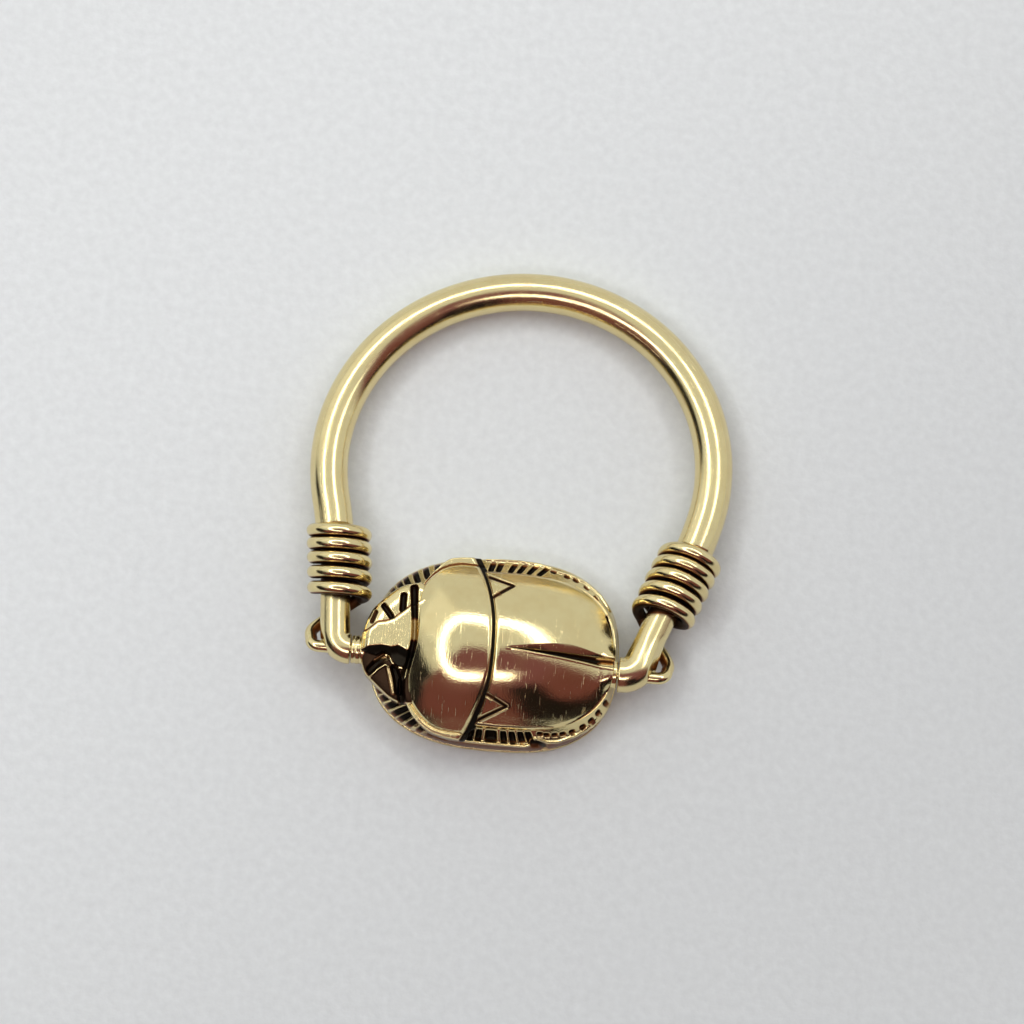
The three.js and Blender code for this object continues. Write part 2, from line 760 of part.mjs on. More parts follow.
function makeBack() {
  const buried = plinth.bandHeight;
  const height = (crown) => (along, aside) => crownHeight(crown, along, aside);
  const border = crownSolid(flange, buried, flangeHeight);
  let solid = plinthSolid()
    .add(crownSolid(prothorax, buried, height(prothorax)).add(border).subtract(rearBlock(0)))
    .add(crownSolid(elytra, buried, height(elytra)).intersect(rearBlock(grooves.underlap)))
    .add(crownSolid(head, head.underside, headHeight));
  for (const cut of [...headCuts(), ...barCuts()]) solid = solid.subtract(cut);
  solid = solid.add(nosePlateSolid());
  solid = solid.subtract(saddleGroove()).subtract(sutureGroove());
  solid = solid.subtract(crownSolid(cavity, backFloor - cutOverrun, height(cavity)));
  const bore = axisCylinder(
    tube.diameter / 2 + solderGap,
    -faceAcross(headEnd),
    faceAcross(tailEnd),
    tube.sides,
  );
  bore.translate(0, 0, swivelHeight);
  bore.applyMatrix4(beetleFrame.clone().invert());
  solid = solid.subtract(toSolid(bore));
  return named("scarab_back", toGeometry(solid), castGold);
}

function makePlate() {
  const outline = insetOval(plinth, plate.bevel - plate.lip);
  const shape = new THREE.Shape(Array.from({ length: beetle.outlineSteps }, (_, step) => (
    ovalPoint(outline, 2 * Math.PI * step / beetle.outlineSteps, 1)
  )));
  const geometry = new THREE.ExtrudeGeometry(shape, {
    depth: plate.thickness - 2 * plate.bevel,
    bevelThickness: plate.bevel,
    bevelSize: plate.bevel,
    bevelSegments: 1,
  });
  geometry.translate(0, 0, plate.bevel);
  return named("base_plate", geometry, plateGold);
}

function makeTube() {
  const start = -faceAcross(headEnd) + endPlay;
  const length = faceAcross(tailEnd) - endPlay - start;
  const outer = tube.diameter / 2;
  const profile = [
    new THREE.Vector2(boreRadius, 0),
    new THREE.Vector2(outer, 0),
    new THREE.Vector2(outer, length),
    new THREE.Vector2(boreRadius, length),
    new THREE.Vector2(boreRadius, 0),
  ];
  const geometry = new THREE.LatheGeometry(profile, tube.sides);
  geometry.rotateZ(-Math.PI / 2);
  const mesh = named("pivot_tube", geometry, tubeGold);
  mesh.position.set(start, 0, swivelHeight);
  return mesh;
}

const hoopGroup = new THREE.Group();
hoopGroup.position.z = swivelHeight;
hoopGroup.rotation.x = -hoopTilt;
hoopGroup.add(makeHoop(), makeWire());

const beetleGroup = new THREE.Group();
beetleGroup.applyMatrix4(beetleFrame);
beetleGroup.add(makeBack(), makePlate());

const group = new THREE.Group();
group.add(hoopGroup, beetleGroup, makeTube());

// The origin lies under the middle of the whole ring
const box = new THREE.Box3().setFromObject(group, true);
const middle = box.getCenter(new THREE.Vector3());
group.position.set(-middle.x, -middle.y, -box.min.z);

export default group;
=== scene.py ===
import json
import math

import bpy
import numpy as np
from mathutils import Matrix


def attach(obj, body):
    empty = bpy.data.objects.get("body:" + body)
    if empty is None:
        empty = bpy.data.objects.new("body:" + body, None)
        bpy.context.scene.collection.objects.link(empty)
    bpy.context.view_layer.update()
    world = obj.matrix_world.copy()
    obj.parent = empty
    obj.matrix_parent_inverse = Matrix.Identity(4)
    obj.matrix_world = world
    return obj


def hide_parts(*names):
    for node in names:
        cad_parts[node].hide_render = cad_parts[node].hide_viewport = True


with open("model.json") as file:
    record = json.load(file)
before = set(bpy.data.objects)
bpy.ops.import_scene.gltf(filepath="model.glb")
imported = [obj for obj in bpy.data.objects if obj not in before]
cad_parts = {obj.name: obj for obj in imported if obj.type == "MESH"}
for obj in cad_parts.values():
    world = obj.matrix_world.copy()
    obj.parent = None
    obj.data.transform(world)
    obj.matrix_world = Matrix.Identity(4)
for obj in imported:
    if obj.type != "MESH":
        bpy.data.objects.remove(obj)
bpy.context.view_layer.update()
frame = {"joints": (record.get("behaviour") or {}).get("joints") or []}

# A gold scarab on a swivel wire, carried by a bent hoop. Sizes are millimetres and angles degrees. "across"
# runs along the swivel axis from the beetle's head to its tail, "reach" from the axis to the far side of the
# hoop, both from the middle of the swivel, and height is measured from the surface it lies on. On the
# beetle, "along" runs from head to tail and "aside" square to that.
mm = 0.001
swivel = np.array(frame["joints"][0]["pos_m"]) / mm
placed = []


# One small function adds a node with its inputs, linked or set, and its settings
def addNode(tree, kind, inputs=None, **settings):
    node = tree.nodes.new(kind)
    for key, value in settings.items():
        setattr(node, key, value)
    for key, value in (inputs or {}).items():
        if isinstance(value, bpy.types.NodeSocket):
            tree.links.new(value, node.inputs[key])
        else:
            node.inputs[key].default_value = value
    return node


# The node tree of a material or a world, emptied
def emptyTree(owner):
    owner.use_nodes = True
    owner.node_tree.nodes.clear()
    return owner.node_tree


def addObject(name, data):
    item = bpy.data.objects.new(name, data)
    bpy.context.scene.collection.objects.link(item)
    return item


# Places a camera or a lamp, with its X along a side and its Z away from what it looks at
def aim(item, side, back, place):
    turn = np.eye(4)
    turn[:3, :3] = np.stack([side, np.cross(back, side), back], -1)
    turn[:3, 3] = place * mm
    item.matrix_world = turn.T.tolist()


# sRGB hex text turned to linear light
def linearColour(hexText):
    values = np.array([int(hexText[at:at + 2], 16) for at in (1, 3, 5)]) / 255
    linear = np.where(values <= 0.04045, values / 12.92, ((values + 0.055) / 1.055) ** 2.4)
    return (*linear.tolist(), 1.0)


# 0 below low, 1 above high, and a smooth S between them
def smooth(low, high, value):
    share = np.clip((value - low) / (high - low), 0, 1)
    return share * share * (3 - 2 * share)


# 1 inside a half width, 0 outside, with steep soft sides: exp of minus an even power
def flatBell(value, halfWidth, power=4):
    return np.exp(-(value / halfWidth) ** power)


# From one value to another by a share
def mix(start, end, share):
    return start + (end - start) * share


def unit(vectors):
    return vectors / np.linalg.norm(vectors, axis=-1, keepdims=True)


# A spline through points: between two points the line is a cubic whose slope at each is half the step between
# its neighbours
def splineThrough(points, perSpan, closed=False):
    points = np.asarray(points, float)
    if closed:
        padded = np.concatenate([points[-1:], points, points[:2]])
    else:
        padded = np.concatenate([2 * points[:1] - points[1:2], points, 2 * points[-1:] - points[-2:-1]])
    share = (np.arange(perSpan) / perSpan)[None, :, None]
    p0, p1, p2, p3 = (padded[at:len(padded) - 3 + at, None] for at in range(4))
    line = (p1 + share / 2 * (p2 - p0) + share ** 2 * (p0 - 5 * p1 / 2 + 2 * p2 - p3 / 2)
            + share ** 3 * (3 * (p1 - p2) + p3 - p0) / 2).reshape(-1, points.shape[1])
    return line if closed else np.concatenate([line, points[-1:]])


# A surface from rows of points, each row a ring. Rows either close on themselves like a hoop, or end in a fan
def ringSurface(name, rows, values=None, hoopLike=False):
    count, sides = rows.shape[:2]
    last = count if hoopLike else count - 1
    row, side = np.meshgrid(np.arange(last), np.arange(sides), indexing="ij")
    below, beside = (row + 1) % count, (side + 1) % sides
    quads = np.stack([row * sides + side, row * sides + beside,
                      below * sides + beside, below * sides + side], -1).reshape(-1, 4)
    points = rows.reshape(-1, 3)
    facing = np.cross(points[quads[:, 2]] - points[quads[:, 0]], points[quads[:, 3]] - points[quads[:, 1]])
    outward = (facing * (points[quads].mean(1) - points.mean(0))).sum() > 0
    faces = (quads if outward else quads[:, ::-1]).tolist()
    if not hoopLike:
        ring = np.arange(sides)
        after, end = (ring + 1) % sides, (count - 1) * sides
        points = np.concatenate([points, rows[:1].mean(1), rows[-1:].mean(1)])
        fans = np.concatenate([np.stack([np.full(sides, count * sides), after, ring], -1),
                               np.stack([np.full(sides, count * sides + 1), end + ring, end + after], -1)])
        faces += (fans if outward else fans[:, ::-1]).tolist()
    mesh = bpy.data.meshes.new(name)
    mesh.from_pydata((points * mm).tolist(), [], faces)
    mesh.polygons.foreach_set("use_smooth", np.ones(len(faces), bool))
    for key, grid in (values or {}).items():
        flat = grid.reshape(count * sides, -1)
        if not hoopLike:
            ends = grid[[0, -1]].reshape(2, sides, -1).mean(1)
            flat = np.concatenate([flat, ends])
        kind, field = ("FLOAT_VECTOR", "vector") if flat.shape[1] == 3 else ("FLOAT", "value")
        mesh.attributes.new(key, kind, "POINT").data.foreach_set(field, flat.reshape(-1))
    mesh.update()
    return addObject(name, mesh)


# A round section carried along a line: spokes of the radius square to the line, turned from one direction.
# "grain" holds the place on the section and the run along the line, for marks that follow the metal.
def sweepRound(line, radii, sides, reference):
    tangent = unit(np.gradient(line, axis=0))
    normal = unit(reference - (tangent @ reference)[:, None] * tangent)
    across = np.cross(tangent, normal)
    angle = 2 * np.pi * np.arange(sides) / sides
    cosine, sine = np.cos(angle), np.sin(angle)
    spokes = normal[:, None] * cosine[:, None] + across[:, None] * sine[:, None]
    rows = line[:, None] + radii[:, None, None] * spokes
    run = np.concatenate([[0], np.cumsum(np.linalg.norm(np.diff(line, axis=0), axis=1))])
    grain = np.stack([radii[:, None] * cosine, radii[:, None] * sine, run[:, None] + 0 * cosine], -1)
    return rows, grain


# Both ends of a sweep rounded over by a quarter circle: as the angle opens, the ring moves in by the rounding
# times one minus its cosine, and grows by the rounding times its sine
def roundEnds(line, radii, rounding, steps):
    angle = np.linspace(0, np.pi / 2, steps + 1)
    back, less = rounding * (1 - np.cos(angle))[:, None], rounding * (1 - np.sin(angle))
    first = line[0] + unit(line[1] - line[0]) * back
    last = line[-1] + unit(line[-2] - line[-1]) * back
    fromEnds = np.minimum(np.linalg.norm(line - line[0], axis=1), np.linalg.norm(line - line[-1], axis=1))
    keep = fromEnds > rounding
    return (np.concatenate([first, line[keep], last[::-1]]),
            np.concatenate([radii[0] - less, radii[keep], (radii[-1] - less)[::-1]]))


# Distance of each place from a line through corners, and how far along the line its nearest point is, as a
# share
def fromLine(along, aside, corners):
    corners = np.asarray(corners, float)
    lengths = np.linalg.norm(np.diff(corners, axis=0), axis=1)
    starts = np.concatenate([[0], np.cumsum(lengths)])
    nearest, place = np.full(along.shape, np.inf), np.zeros(along.shape)
    for corner, following, length, start in zip(corners[:-1], corners[1:], lengths, starts):
        step = (following - corner) / length
        run = np.clip((along - corner[0]) * step[0] + (aside - corner[1]) * step[1], 0, length)
        gap = np.hypot(along - corner[0] - run * step[0], aside - corner[1] - run * step[1])
        place = np.where(gap < nearest, (start + run) / starts[-1], place)
        nearest = np.minimum(nearest, gap)
    return nearest, place


def finishPiece(piece, body, nodes, material):
    piece.data.materials.append(material)
    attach(piece, body)
    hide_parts(*nodes)
    placed.append(piece)
    return piece


view = {
    "azimuth": 5.53, "elevation": 81.0, "distance": 250.0, "target": (0.556, 7.873, 1.233),
    "pixelSize": 0.0525, "imageWidth": 1024, "sensorWidth": 36.0, "nearest": 0.01,
}


def makeCamera():
    azimuth, elevation = math.radians(view["azimuth"]), math.radians(view["elevation"])
    back = np.array([math.sin(azimuth) * math.cos(elevation),
                     -math.cos(azimuth) * math.cos(elevation), math.sin(elevation)])
    right = np.array([math.cos(azimuth), math.sin(azimuth), 0])
    data = bpy.data.cameras.new("camera")
    data.sensor_width = view["sensorWidth"]
    data.lens = view["sensorWidth"] * view["distance"] / (view["pixelSize"] * view["imageWidth"])
    data.clip_start = view["nearest"]
    camera = addObject("camera", data)
    aim(camera, right, back, swivel + np.array(view["target"]) + back * view["distance"])
    bpy.context.scene.camera = camera


makeCamera()
print("camera placed")

# Gold of about 14 carat. Every finish starts from the same metal and differs in how its surface was made
metal = {
    "gold": "#EDDFAB",
    "warmGold": "#DFCA92",
    # The brown and the black colour real grime and patina in hollows, and also painted shade and painted dark
    # reflections
    "grimeAndShade": "#7E4C2C",
    "patinaAndShade": "#24201A",
    "patinaAndShadeRoughness": 0.5,
    "lines": {"Detail": 3.0, "Roughness": 0.6},
    "clouds": {"Detail": 4.0, "Roughness": 0.55},
    "grit": {"Detail": 2.0, "Roughness": 0.5},
    "cloudRange": (0.3, 0.7),
    "scratchRange": (0.64, 0.72),
}


# A gold finish: bare metal with fine lines and scratches from its making and wear, cloudier where it is
# rubbed. The piece's own value of patina and painted shade, real grime and patina in hollows together with
# painted shade and painted dark reflections, turns it brown at a half and black at one
def goldFinish(name, finish):
    material = bpy.data.materials.new(name)
    tree = emptyTree(material)
    if finish["follows"] == "grain":
        place = addNode(tree, "ShaderNodeAttribute", attribute_name="grain").outputs["Vector"]
    else:
        coordinates = addNode(tree, "ShaderNodeTexCoord")
        place = addNode(tree, "ShaderNodeVectorMath", {
            "Vector": coordinates.outputs["Object"], "Scale": 1 / mm,
        }, operation="SCALE").outputs["Vector"]
    stretched = addNode(tree, "ShaderNodeMapping", {
        "Vector": place, "Rotation": (0, 0, math.radians(finish["lineTurn"])), "Scale": finish["lineScale"],
    }).outputs["Vector"]
    lines, clouds, grit = (
        addNode(tree, "ShaderNodeTexNoise", {"Vector": vector, "Scale": 1 / size,
                                             **metal[pattern]}).outputs["Fac"]
        for pattern, vector, size in (("lines", stretched, 1.0), ("clouds", place, finish["cloudSize"]),
                                      ("grit", place, finish["gritSize"])))
    patinaAndShade = addNode(tree, "ShaderNodeAttribute", attribute_name="patinaAndShade").outputs["Fac"]
    colour = addNode(tree, "ShaderNodeMix", {
        "Factor": clouds, "A": linearColour(metal["gold"]), "B": linearColour(metal["warmGold"]),
    }, data_type="RGBA")
    for layer, start in (("grimeAndShade", 0.0), ("patinaAndShade", 0.5)):
        share = addNode(tree, "ShaderNodeMapRange", {
            "Value": patinaAndShade, "From Min": start, "From Max": start + 0.5,
        })
        colour = addNode(tree, "ShaderNodeMix", {
            "Factor": share.outputs["Result"], "A": colour.outputs["Result"], "B": linearColour(metal[layer]),
        }, data_type="RGBA")
    worn = addNode(tree, "ShaderNodeMapRange", {
        "Value": clouds, "From Min": metal["cloudRange"][0], "From Max": metal["cloudRange"][1],
        "To Min": finish["roughness"][0], "To Max": finish["roughness"][1],
    })
    roughness = addNode(tree, "ShaderNodeMix", {
        "Factor": patinaAndShade, "A": worn.outputs["Result"], "B": metal["patinaAndShadeRoughness"],
    }, data_type="FLOAT")
    height = addNode(tree, "ShaderNodeMapRange", {
        "Value": lines, "From Min": metal["scratchRange"][0], "From Max": metal["scratchRange"][1],
        "To Max": -finish["scratchDepth"] * mm,
    }, interpolation_type="SMOOTHSTEP").outputs["Result"]
    for pattern, depth in ((lines, finish["lineDepth"]), (grit, finish["gritDepth"])):
        height = addNode(tree, "ShaderNodeMath", {
            0: pattern, 1: depth * mm, 2: height,
        }, operation="MULTIPLY_ADD").outputs["Value"]
    bump = addNode(tree, "ShaderNodeBump", {"Height": height, "Strength": 1.0, "Distance": 1.0})
    shader = addNode(tree, "ShaderNodeBsdfPrincipled", {
        "Base Color": colour.outputs["Result"], "Metallic": 1.0, "Roughness": roughness.outputs["Result"],
        "Normal": bump.outputs["Normal"],
    })
    addNode(tree, "ShaderNodeOutputMaterial", {"Surface": shader.outputs["BSDF"]})
    return material


# Drawn and bent rod, hand polished: long faint draw lines and a soft uneven gloss
rodFinish = {
    "follows": "grain", "lineTurn": 0, "lineScale": (9.0, 9.0, 0.25), "lineDepth": 0.004,
    "scratchDepth": 0.003, "cloudSize": 1.4, "gritSize": 0.1, "gritDepth": 0.0022, "roughness": (0.13, 0.26),
}
# Drawn wire, wound by hand: finer draw lines, brighter than the rod
wireFinish = {
    "follows": "grain", "lineTurn": 0, "lineScale": (14.0, 14.0, 0.4), "lineDepth": 0.002,
    "scratchDepth": 0.002, "cloudSize": 0.8, "gritSize": 0.08, "gritDepth": 0.0014, "roughness": (0.1, 0.2),
}
# Polished casting, rubbed by wear: short scratches square to the beetle's length over a high gloss
castFinish = {
    "follows": "object", "lineTurn": 8, "lineScale": (16.0, 0.9, 0.9), "lineDepth": 0.004,
    "scratchDepth": 0.005, "cloudSize": 1.1, "gritSize": 0.085, "gritDepth": 0.005, "roughness": (0.08, 0.16),
}
# Rolled sheet, rubbed flat on fine paper: satin with straight rubbing lines
sheetFinish = {
    "follows": "object", "lineTurn": 0, "lineScale": (0.6, 14.0, 14.0), "lineDepth": 0.003,
    "scratchDepth": 0.003, "cloudSize": 1.2, "gritSize": 0.08, "gritDepth": 0.0012, "roughness": (0.2, 0.32),
}
# Drawn tube with ends faced in a lathe: bright, with fine turned lines round it
tubeFinish = {
    "follows": "grain", "lineTurn": 0, "lineScale": (0.8, 0.8, 16.0), "lineDepth": 0.002,
    "scratchDepth": 0.001, "cloudSize": 0.7, "gritSize": 0.1, "gritDepth": 0.001, "roughness": (0.12, 0.2),
}
rodGold = goldFinish("polished_drawn_gold_rod", rodFinish)
wireGold = goldFinish("drawn_gold_wire", wireFinish)
castGold = goldFinish("polished_cast_gold", castFinish)
sheetGold = goldFinish("rubbed_rolled_gold_sheet", sheetFinish)
tubeGold = goldFinish("drawn_gold_tube", tubeFinish)
print("gold finishes made")


# Hoop rod: an ellipse that leans a little in its own plane, with a leg and an elbow down to each drilled end
hoop = {
    "rodDiameter": 2.0, "legDiameter": 1.58, "halfWidth": 10.19, "halfHeight": 9.68, "centreAcross": 0.8,
    "centreReach": 10.52, "turn": 10.6, "legHandleShare": 0.36, "shoulderLength": 0.3, "boreRadius": 0.4,
    "faceRounding": 0.06, "faceSteps": 5, "facetRounding": 0.02, "facetFade": (1.5, 2.3), "stubSteps": 5,
    "legSteps": 90, "elbowSteps": 48, "arcSteps": 420, "sides": 96, "boreSides": 64, "drillPast": 0.5,
    "sharpAngle": 40, "restHeight": 2.2, "coilGrimeAndShade": 0.9,
}
headEnd = {
    "outward": -1, "corner": 8.003, "lean": 6.5, "arcStart": 184, "elbowDiameter": 1.6, "crease": 0.04,
    "face": 7.203, "facetBeyond": 0.72, "facetTurn": -18, "facetRoll": 22,
    "coilReach": 3.02, "coilPitch": 0.868, "coilTighten": 0.022, "coilInset": 0.22, "coilLean": -5,
    "shoulderBeyond": 0.08, "crossReach": 2.05, "loopReach": 1.0, "loopDrop": 0.68,
    "hookRadius": 0.42, "hookPitch": 35, "hookStandOff": 0.17,
}
tailEnd = {
    "outward": 1, "corner": 7.863, "lean": 15, "arcStart": -22, "elbowDiameter": 1.86, "crease": 0.1,
    "face": 6.923, "facetBeyond": 0.86, "facetTurn": -14, "facetRoll": 24,
    "coilReach": 3.5, "coilPitch": 0.845, "coilTighten": 0.018, "coilInset": 0.0, "coilLean": 12,
    "shoulderBeyond": 0.2, "crossReach": 2.3, "loopReach": 1.0, "loopDrop": 0.7,
    "hookRadius": 0.48, "hookPitch": 35, "hookStandOff": 0.24,
}
wire = {
    "diameter": 0.64, "coilDiameter": 3.45, "coilWire": 0.7, "turns": 5, "lastFront": 4.25,
    "pastFront": 0.375, "startShare": 0.2, "stepsPerTurn": 72, "sides": 28, "bridgeSteps": 16,
    "hookSteps": 24, "guideBack": 3, "axisSpan": 3, "wrapGap": 0.05, "runSteps": 60, "endRounding": 0.07,
    "endSteps": 5, "grimeAndShade": 0.92, "loopGrimeAndShade": 0.55, "grimeAndShadeFade": 0.3, "innerShare": 0.66,
    "openLessDark": 0.8, "openTurns": (1, 0.8), "openRange": (-0.2, 0.3),
}


def hoopPoint(degrees):
    angle, turn = np.radians(degrees), math.radians(hoop["turn"])
    wide, high = hoop["halfWidth"] * np.cos(angle), hoop["halfHeight"] * np.sin(angle)
    return np.stack([hoop["centreAcross"] + wide * math.cos(turn) - high * math.sin(turn),
                     hoop["centreReach"] + wide * math.sin(turn) + high * math.cos(turn)], -1)


# The leg's centreline: a short stub from the flat inner face, an arc round the elbow, then a cubic up to the
# hoop
def legLine(end):
    lean, outward = math.radians(end["lean"]), end["outward"]
    corner = np.array([outward * end["corner"], 0.0])
    up, inward = np.array([outward * math.sin(lean), math.cos(lean)]), np.array([-outward, 0.0])
    opening = math.pi / 2 + lean
    radius = end["elbowDiameter"] / 2 + end["crease"]
    tangent = radius / math.tan(opening / 2)
    centre = corner + unit(up + inward) * radius / math.sin(opening / 2)
    start = corner + inward * tangent - centre
    angle = outward * (math.pi - opening) * np.linspace(0, 1, hoop["elbowSteps"])
    bend = centre + np.stack([start[0] * np.cos(angle) - start[1] * np.sin(angle),
                              start[0] * np.sin(angle) + start[1] * np.cos(angle)], -1)
    arcPoint = hoopPoint(end["arcStart"])
    arcRun = outward * unit(hoopPoint(end["arcStart"] + 0.5) - hoopPoint(end["arcStart"] - 0.5))
    handle = hoop["legHandleShare"] * np.linalg.norm(arcPoint - bend[-1])
    share = np.linspace(0, 1, hoop["legSteps"])[1:, None]
    leg = ((1 - share) ** 3 * bend[-1] + 3 * (1 - share) ** 2 * share * (bend[-1] + up * handle)
           + 3 * (1 - share) * share ** 2 * (arcPoint - arcRun * handle) + share ** 3 * arcPoint)
    face = np.array([outward * end["face"], 0.0])
    stub = face + (bend[0] - face) * np.linspace(0, 1, hoop["stubSteps"])[:-1, None]
    return np.concatenate([stub, bend, leg])


# How far a turn of the coil lies from the one nearest the beetle: the turns lie closer the further they are
def coilOffset(end, turns):
    return end["coilPitch"] * turns - end["coilTighten"] * turns ** 2


# Rod radius by reach: thick at the elbow, thin under the coil, full past the shoulder
def rodRadius(end, reach):
    coilRadius = (wire["coilDiameter"] - wire["coilWire"]) / 2
    elbow, leg, full = end["elbowDiameter"] / 2, hoop["legDiameter"] / 2, hoop["rodDiameter"] / 2
    shoulder = end["coilReach"] + coilOffset(end, wire["turns"] - 1) + end["shoulderBeyond"]
    return (elbow + (leg - elbow) * smooth(0, end["coilReach"] - coilRadius, reach)
            + (full - leg) * smooth(shoulder, shoulder + hoop["shoulderLength"], reach))


# From the hoop's own plane to the room: the hoop leans down from the swivel until its far side lies on the
# floor
hoopReach = hoop["centreReach"] + math.hypot(hoop["halfWidth"] * math.sin(math.radians(hoop["turn"])),
                                             hoop["halfHeight"] * math.cos(math.radians(hoop["turn"])))
hoopTilt = math.asin((hoop["restHeight"] - hoop["rodDiameter"] / 2) / hoopReach)


def fromHoopPlane(points):
    cosine, sine = math.cos(hoopTilt), math.sin(hoopTilt)
    across, reach, lift = points[..., 0], points[..., 1], points[..., 2]
    return swivel + np.stack([across, reach * cosine + lift * sine, lift * cosine - reach * sine], -1)


# What lies beyond the slanting facet is pressed back onto it: the excess is a soft maximum of zero and how
# far a point lies past the plane. It fades out up the leg.
def fileFacet(points, end):
    turn, roll = math.radians(end["facetTurn"]), math.radians(end["facetRoll"])
    normal = np.array([end["outward"] * math.cos(turn) * math.cos(roll), math.sin(turn) * math.cos(roll),
                       math.sin(roll)])
    past = (points - np.array([end["outward"] * (end["corner"] + end["facetBeyond"]), 0, 0])) @ normal
    excess = np.logaddexp(0, past / hoop["facetRounding"]) * hoop["facetRounding"]
    excess = excess * (1 - smooth(*hoop["facetFade"], points[..., 1]))
    return points - excess[..., None] * normal


# A piece with a drilled hole taken out of its mesh
def drill(piece, cutter):
    cut = piece.modifiers.new("drill", "BOOLEAN")
    cut.operation, cut.solver, cut.object = "DIFFERENCE", "EXACT", cutter
    drilled = bpy.data.meshes.new_from_object(piece.evaluated_get(bpy.context.evaluated_depsgraph_get()))
    piece.modifiers.clear()
    piece.data = drilled
    drilled.name = piece.name
    bpy.data.objects.remove(cutter)
    drilled.polygons.foreach_set("use_smooth", np.ones(len(drilled.polygons), bool))
    drilled.set_sharp_from_angle(angle=math.radians(hoop["sharpAngle"]))
    return piece


# Grime and painted shade on the leg under the coil, from the first turn to the last: the dark stands in for
# the coil's shade on the leg
def coilGrimeAndShade(end, rows):
    first, half, reach = end["coilReach"], wire["coilWire"] / 2, rows[..., 1]
    last = first + coilOffset(end, wire["turns"] - 1)
    return hoop["coilGrimeAndShade"] * smooth(first - half, first, reach) * smooth(last, last - half, reach)


def makeHoop():
    degrees = np.linspace(tailEnd["arcStart"], headEnd["arcStart"], hoop["arcSteps"])[1:-1]
    flat = np.concatenate([legLine(tailEnd), hoopPoint(degrees), legLine(headEnd)[::-1]])
    line = np.concatenate([flat, np.zeros((len(flat), 1))], 1)
    radii = np.where(line[:, 0] > 0, rodRadius(tailEnd, line[:, 1]), rodRadius(headEnd, line[:, 1]))
    line, radii = roundEnds(line, radii, hoop["faceRounding"], hoop["faceSteps"])
    rows, grain = sweepRound(line, radii, hoop["sides"], np.array([0, 0, 1.0]))
    rows = fileFacet(fileFacet(rows, headEnd), tailEnd)
    # Painted shade and grime under the coils, carried in the patina value
    grimeAndShade = np.where(rows[..., 0] > 0, coilGrimeAndShade(tailEnd, rows), coilGrimeAndShade(headEnd, rows))
    piece = ringSurface("hoop_rod", fromHoopPlane(rows), {"grain": grain, "patinaAndShade": grimeAndShade})
    for end in (headEnd, tailEnd):
        ends = end["outward"] * (np.array([end["face"], end["corner"] + end["facetBeyond"]])
                                 + hoop["drillPast"] * np.array([-1, 1]))
        bore = np.stack([ends, 0 * ends, 0 * ends], -1)
        cutter = sweepRound(bore, np.full(2, hoop["boreRadius"]), hoop["boreSides"], np.array([0, 0, 1.0]))[0]
        drill(piece, ringSurface("cutter", fromHoopPlane(cutter)))
    return finishPiece(piece, "hoop", ["hoop"], rodGold)


makeHoop()
print("hoop made")


# The point of the leg and hoop line at a reach
def legPointAt(end, reach):
    past = end["arcStart"] + (90 - end["arcStart"]) * np.linspace(0, 1, hoop["legSteps"])[1:]
    line = np.concatenate([legLine(end), hoopPoint(past)])
    first = int(np.argmax(line[:, 1] >= reach))
    share = (reach - line[first - 1, 1]) / (line[first, 1] - line[first - 1, 1])
    return np.append(line[first - 1] + share * (line[first] - line[first - 1]), 0.0)


# Half of the wire: a helix round the leg, the crossing under it, then a quarter circle into the bore. Each
# point's marks are the direction away from the leg, how far the wire is wound there, and the coil's open
# side.
def wireRoute(end):
    outward = np.array([end["outward"], 0, 0.0])
    near, far = legPointAt(end, end["coilReach"]), legPointAt(end, end["coilReach"] + wire["axisSpan"])
    axis = unit(far - near)
    inward = np.array([-end["outward"] * axis[1], end["outward"] * axis[0], 0])
    lean = math.radians(end["coilLean"])
    top = np.array([0, 0, math.cos(lean)]) + axis * math.sin(lean)
    coilRadius = (wire["coilDiameter"] - wire["coilWire"]) / 2
    steps = round((wire["lastFront"] + wire["pastFront"] + wire["startShare"]) * wire["stepsPerTurn"])
    turn = np.arange(steps + 1) / wire["stepsPerTurn"] - wire["startShare"]
    angle = np.pi - 2 * np.pi * turn
    loops = (near + inward * end["coilInset"] + axis * coilOffset(end, wire["lastFront"] - turn)[:, None]
             + coilRadius * (inward * np.cos(angle)[:, None] + top * np.sin(angle)[:, None]))
    pitch = math.radians(end["hookPitch"])
    plunge = np.array([0, -math.cos(pitch), math.sin(pitch)])
    hookEnd = outward * (end["corner"] + end["facetBeyond"] + end["hookStandOff"])
    centre = hookEnd - plunge * end["hookRadius"]
    bend = np.linspace(0, np.pi / 2, wire["hookSteps"])[:, None]
    hook = centre + end["hookRadius"] * (outward * np.cos(bend) + plunge * np.sin(bend))
    crossing = legPointAt(end, end["crossReach"])
    crossing[2] = -(rodRadius(end, end["crossReach"]) + wire["diameter"] / 2 + wire["wrapGap"])
    before = np.array([hook[0, 0], end["loopReach"], -end["loopDrop"]])
    guide = np.array([loops[-1 - wire["guideBack"]], loops[-1], crossing, before, hook[0],
                      hook[wire["guideBack"]]])
    bridge = splineThrough(guide, wire["bridgeSteps"])[wire["bridgeSteps"] + 1:4 * wire["bridgeSteps"]]
    route = np.concatenate([loops, bridge, hook])
    past = np.arange(len(route)) - len(loops)
    legAxis = near + inward * end["coilInset"]
    away = route - legAxis
    away = unit(away - (away @ axis)[:, None] * axis)
    wound = smooth(wire["bridgeSteps"], 0, past)[:, None]
    thicker = (wire["coilWire"] - wire["diameter"]) * smooth(0, -wire["stepsPerTurn"] / 2, past)
    radii = (wire["diameter"] + thicker) / 2
    openSide = np.zeros((len(route), 3))
    openSide[:len(loops)] = axis * smooth(*wire["openTurns"], turn)[:, None]
    marks = np.concatenate([away * wound + outward * (1 - wound), wound, openSide], 1)
    return route, radii, marks
